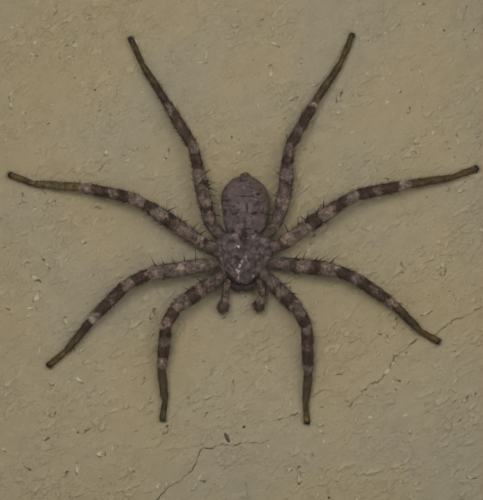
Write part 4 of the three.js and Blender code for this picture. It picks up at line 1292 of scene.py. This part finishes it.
points, faces_up = body_points(CARAPACE)
x, y = points[:, 0], points[:, 1]
top = np.clip(faces_up * 4, 0, 1)
from_groove = np.hypot(x, y - FOVEA[0])
rays = np.clip(np.cos(RAYS * np.arctan2(y - FOVEA[0], x)), 0, 1) ** 4 * np.clip(from_groove - RAY_START, 0, 1)
lift = HEAD_RISE * bump_at(x, y, *HEAD_PLACE) - FOVEA_DEPTH * bump_at(x, y, *FOVEA) - RAY_DEPTH * rays
points[:, 2] += top * (lift + relief(points, (1.4, 3, 60.0, 0.07), (4.5, 2, 70.0, 0.03)))
tint = np.tile(np.array(GREY_BROWN), (len(points), 1))
mottle(tint, points, 1.5, 80.0, 0.7)
tint = speckle(tint, points, 2.6, 84.0, 0.42, 0.14)
tint = paint(tint, x, y, CARAPACE_MARKS, relief(points, (3.0, 3, 90.0, 1.1)))
# Beyond the head's pale front, its front edge is painted dark: the dark rim by the eyes, and painted shadow
# in the gap to the palps and jaws.
brow = np.abs(x - BROW_MIDDLE) - np.interp(-y, *BROW_REACH) + relief(points, (3.0, 2, 97.0, 0.25))
tint = stained(tint, SHADOW, np.clip(brow / BROW_FADE + 0.5, 0, 1) * (-y > BROW_REACH[0][0]))
shield = cuticle_finish("carapace_cuticle", 0.65, 0.12, 0.6, 0.6)
body_piece("carapace", "cephalothorax", points, faces_up, tint, shield, CARAPACE_COAT, 31, 0.3)


# The eyes: eight small glassy domes, four on each side of the middle, in one curved row around the
# head's dark front edge. Each is given as across, up, height and radius.
EYES = [
    (0.2, -5.5, 1.66, 0.12), (0.55, -5.42, 1.68, 0.14), (0.92, -5.26, 1.66, 0.1), (1.22, -4.98, 1.66, 0.15),
]
eye_finish, tree, shader = finish("eye_glaze", 0.2, Specular_IOR_Level=0.3)
deep = noise_of(tree, object_place(tree), 4 * PER_MM, 2.0)
dress(tree, shader, ramp(tree, deep, (0.3, (16, 12, 12)), (0.7, (34, 26, 24))))
eye_shape = bmesh.new()
for across, up, height, radius in EYES:
    for side in (-1, 1):
        spot = on_panel(np.array([[side * across, up, height]]))[0]
        place = Matrix.Translation(spot) @ Matrix.Rotation(math.pi / 2, 4, "X")
        bmesh.ops.create_uvsphere(eye_shape, u_segments=24, v_segments=14, radius=radius, matrix=place)
eyes = bpy.data.meshes.new("eye_lenses")
eye_shape.to_mesh(eyes)
eye_shape.free()
eyes.materials.append(eye_finish)
place_piece(eyes, "spider_body")


# The jaws: two short stout chelicerae side by side under the front of the head, dark brown.
# Each is an egg of hard cuticle with bristles down its front, flattened where it meets the other.
CHELICERA = {"across": 0.46, "up": -5.6, "height": 1.02, "half": (0.92, 0.7, 0.66)}
JAW_TAPER = 0.16
JAW_PARTING = 0.012  # half the slit between the two
JAW_COAT = {"Density": 26.0, "Length": 0.4, "Thickness": 0.018, "Lean": 0.55, "Spread": 0.4, "Bend": 0.2}
JAW_BROWN = linear(66, 51, 47)
jaw_finish = cuticle_finish("jaw_cuticle", 0.5, 0.25, 0.6, 0.6)
for seed, (side, hand) in enumerate(((-1, "left"), (1, "right"))):
    shape = bmesh.new()
    bmesh.ops.create_icosphere(shape, subdivisions=5, radius=1)
    ball = np.array([vert.co for vert in shape.verts])
    faces = [[vert.index for vert in face.verts] for face in shape.faces]
    shape.free()
    half = np.array(CHELICERA["half"])
    narrow = 1 - JAW_TAPER * np.clip(-ball[:, 1], 0, 1)
    points = ball * half * np.stack([narrow, np.ones(len(ball)), narrow], axis=1)
    points += ball * relief(ball, (1.8, 3, 100.0 + seed, 0.05))[:, None]
    points += np.array([side * CHELICERA["across"], CHELICERA["up"], CHELICERA["height"]])
    points[:, 0] = side * np.maximum(side * points[:, 0], JAW_PARTING)
    jaw = mesh_from("jaw_" + hand, on_panel(points), faces)
    tint = np.tile(np.array(JAW_BROWN), (len(points), 1))
    downward = np.tile([0.0, -1.0, 0.0], (len(points), 1))
    furry = np.clip(-ball[:, 1] * 0.5 + ball[:, 2] + 0.1, 0, 1)
    jaw = furred(jaw, jaw_finish, JAW_COAT, 40 + seed, tint, downward, furry)
    place_piece(jaw, "spider_body", "chelicera_" + hand)


# The abdomen: a flat oval bag, dried in soft folds, with rows of small pits where muscles pull it in.
# Four spinnerets stand at its end: two side by side, one over them and one under them.
ABDOMEN = {
    "rear": 5.2, "front": -0.64, "middle_across": 0.2, "middle_height": 1.3,
    "half_widths": [1.98, 2.12, 2.22, 2.34, 2.42, 2.32, 1.95],
    "top_rise": 1.15, "belly_drop": 0.95, "front_fullness": 5.5, "rear_fullness": 2.45,
}
FOLDS = [(3.2, 0.05), (2.78, 0.035), (1.5, 0.05), (0.75, 0.03), (-0.1, 0.04), (4.0, 0.03)]  # up, depth
FOLD_HALF = 0.085
CREASE_DEPTH = 0.03
CREASE_HALF = 0.05
FOLD_SHADE = 0.65
PURPLE_GREY = linear(97, 82, 80)
PURPLE = linear(106, 88, 88)
OLIVE_RIM = linear(98, 80, 54)
# Marks on the bag, each given as those on the shield are
ABDOMEN_MARKS = [
    (-1.0, 3.6, 1.0, 1.0, 0, PURPLE, 0.6), (1.3, 0.9, 0.8, 1.0, 0, PURPLE, 0.5),
    (2.1, 3.5, 0.55, 1.5, 25, OLIVE_RIM, 0.4), (-2.2, 3.4, 0.5, 1.5, -20, OLIVE_RIM, 0.4),
    (-2.2, 0.8, 0.25, 1.3, 0, OLIVE_RIM, 0.4), (2.3, 1.0, 0.25, 1.2, 0, OLIVE_RIM, 0.35),
    (1.44, 3.4, 0.19, 0.16, 0, SHADOW, 1.0), (-0.76, 1.49, 0.34, 0.15, 5, SHADOW, 0.95),
    (1.1, 1.5, 0.26, 0.22, 0, SHADOW, 1.0), (1.92, 1.58, 0.14, 0.15, 0, SHADOW, 0.9),
    (-1.72, 1.73, 0.14, 0.15, 0, SHADOW, 0.9), (-1.0, -0.28, 0.13, 0.12, 0, SHADOW, 0.95),
    (1.25, -0.22, 0.13, 0.12, 0, SHADOW, 0.95), (0.4, 3.2, 0.85, 0.09, 0, SHADOW, 0.85),
    (-1.62, 2.78, 0.5, 0.09, 3, SHADOW, 0.85), (0.33, -0.08, 0.6, 0.09, 0, SHADOW, 0.8),
    (0.06, -0.5, 0.3, 0.45, 0, SHADOW, 0.9), (0.39, 2.1, 0.09, 0.45, 0, SHADOW, 0.85),
    (-0.45, 2.5, 0.12, 0.12, 0, SHADOW, 0.7), (1.1, 2.45, 0.12, 0.12, 0, SHADOW, 0.7),
    (-0.55, 0.55, 0.12, 0.14, 0, SHADOW, 0.7), (0.95, 0.5, 0.12, 0.14, 0, SHADOW, 0.7),
    (0.2, 0.5, 0.08, 0.55, 0, SHADOW, 0.5), (0.2, 4.75, 0.75, 0.14, 0, SHADOW, 0.6),
    (-0.3, 4.1, 0.11, 0.11, 0, SHADOW, 0.7), (0.8, 4.05, 0.11, 0.11, 0, SHADOW, 0.7),
    (-1.2, 2.2, 0.6, 0.07, -4, SHADOW, 0.5), (1.5, 2.3, 0.5, 0.07, 4, SHADOW, 0.5),
]
# Each spinneret: across, height, radius and length
SPINNERETS = [
    (-0.24, 1.15, 0.32, 0.3), (0.3, 1.15, 0.32, 0.34), (0.03, 1.42, 0.3, 0.4), (0.03, 0.85, 0.26, 0.26),
]
# How far along a spinneret, and how wide it is there
SPINNERET_PROFILE = [(0.0, 1.3), (0.3, 1.15), (0.6, 0.92), (0.82, 0.7), (0.95, 0.45), (1.0, 0.12)]
SPINNERET_SUNK = 0.25
SPINNERET_GIRTH = 0.95
SPINNERET_TAN = linear(112, 93, 66)
SPINNERET_AROUND = 30
SPINNERET_ARCS = (0.22, 0.24, 0.1, 0.8)  # dark sides: their middle, how far out, half width, strength
ABDOMEN_COAT = {
    "Density": 30.0, "Length": 0.28, "Thickness": 0.016, "Lean": 0.72, "Spread": 0.35, "Bend": 0.25,
}

points, faces_up = body_points(ABDOMEN)
x, y = points[:, 0], points[:, 1]
top = np.clip(faces_up * 4, 0, 1)
lift = relief(points, (0.9, 3, 110.0, 0.11), (3.6, 2, 120.0, 0.03))
wander = relief(points, (0.7, 2, 130.0, 0.35))
creases = np.clip(1 - np.abs(cloud(points, 0.8, 2, 135.0)) / CREASE_HALF, 0, 1)
creased = np.zeros(len(points))
for up, depth in FOLDS:
    fold = np.exp(-(((y - up + wander) / FOLD_HALF) ** 2))
    lift -= depth * fold
    creased = np.maximum(creased, fold * depth / FOLDS[0][1])
points[:, 2] += top * (lift - CREASE_DEPTH * creases)
tint = np.tile(np.array(PURPLE_GREY), (len(points), 1))
mottle(tint, points, 1.0, 140.0, 0.35)
shaded = np.maximum(creased * (0.7 + 2 * wander), creases * 0.7)
tint[:, :3] *= (1 - FOLD_SHADE * shaded.clip(0, 1))[:, None]
tint = speckle(tint, points, 2.2, 144.0, 0.32, 0.12)
tint = paint(tint, x, y, ABDOMEN_MARKS, relief(points, (2.5, 2, 150.0, 0.5)))
bag = cuticle_finish("abdomen_cuticle", 0.68, 0.12, 0.4, 0.4)
body_piece("abdomen_skin", "abdomen", points, faces_up, tint, bag, ABDOMEN_COAT, 51, 0.25)

teats, teat_faces = [], []
for across, height, radius, length in SPINNERETS:
    start = len(teats)
    teat_faces += [
        tuple(k + start for k in face) for face in loft_faces(len(SPINNERET_PROFILE), SPINNERET_AROUND)
    ]
    across += ABDOMEN["middle_across"]
    for share, width in SPINNERET_PROFILE:
        up = ABDOMEN["rear"] - SPINNERET_SUNK + (length + SPINNERET_SUNK) * share
        reach = radius * width * SPINNERET_GIRTH
        for turn in np.linspace(0, 2 * math.pi, SPINNERET_AROUND, endpoint=False):
            teats.append((across + reach * math.cos(turn), up, height + reach * math.sin(turn)))
teats = np.array(teats)
spinnerets = mesh_from("spinnerets", on_panel(teats), teat_faces)
arc_middle, arc_out, arc_half, arc_strength = SPINNERET_ARCS
arcs = np.exp(-(((np.abs(teats[:, 0] - arc_middle) - arc_out) / arc_half) ** 2)) * arc_strength
tint = stained(np.tile(np.array(SPINNERET_TAN), (len(teats), 1)), SHADOW, arcs)
rearward = np.tile([0.0, 1.0, 0.0], (len(teats), 1))
spinnerets = furred(spinnerets, bag, ABDOMEN_COAT, 61, tint, rearward, np.ones(len(teats)), 0.6)
place_piece(spinnerets, "spider_body")
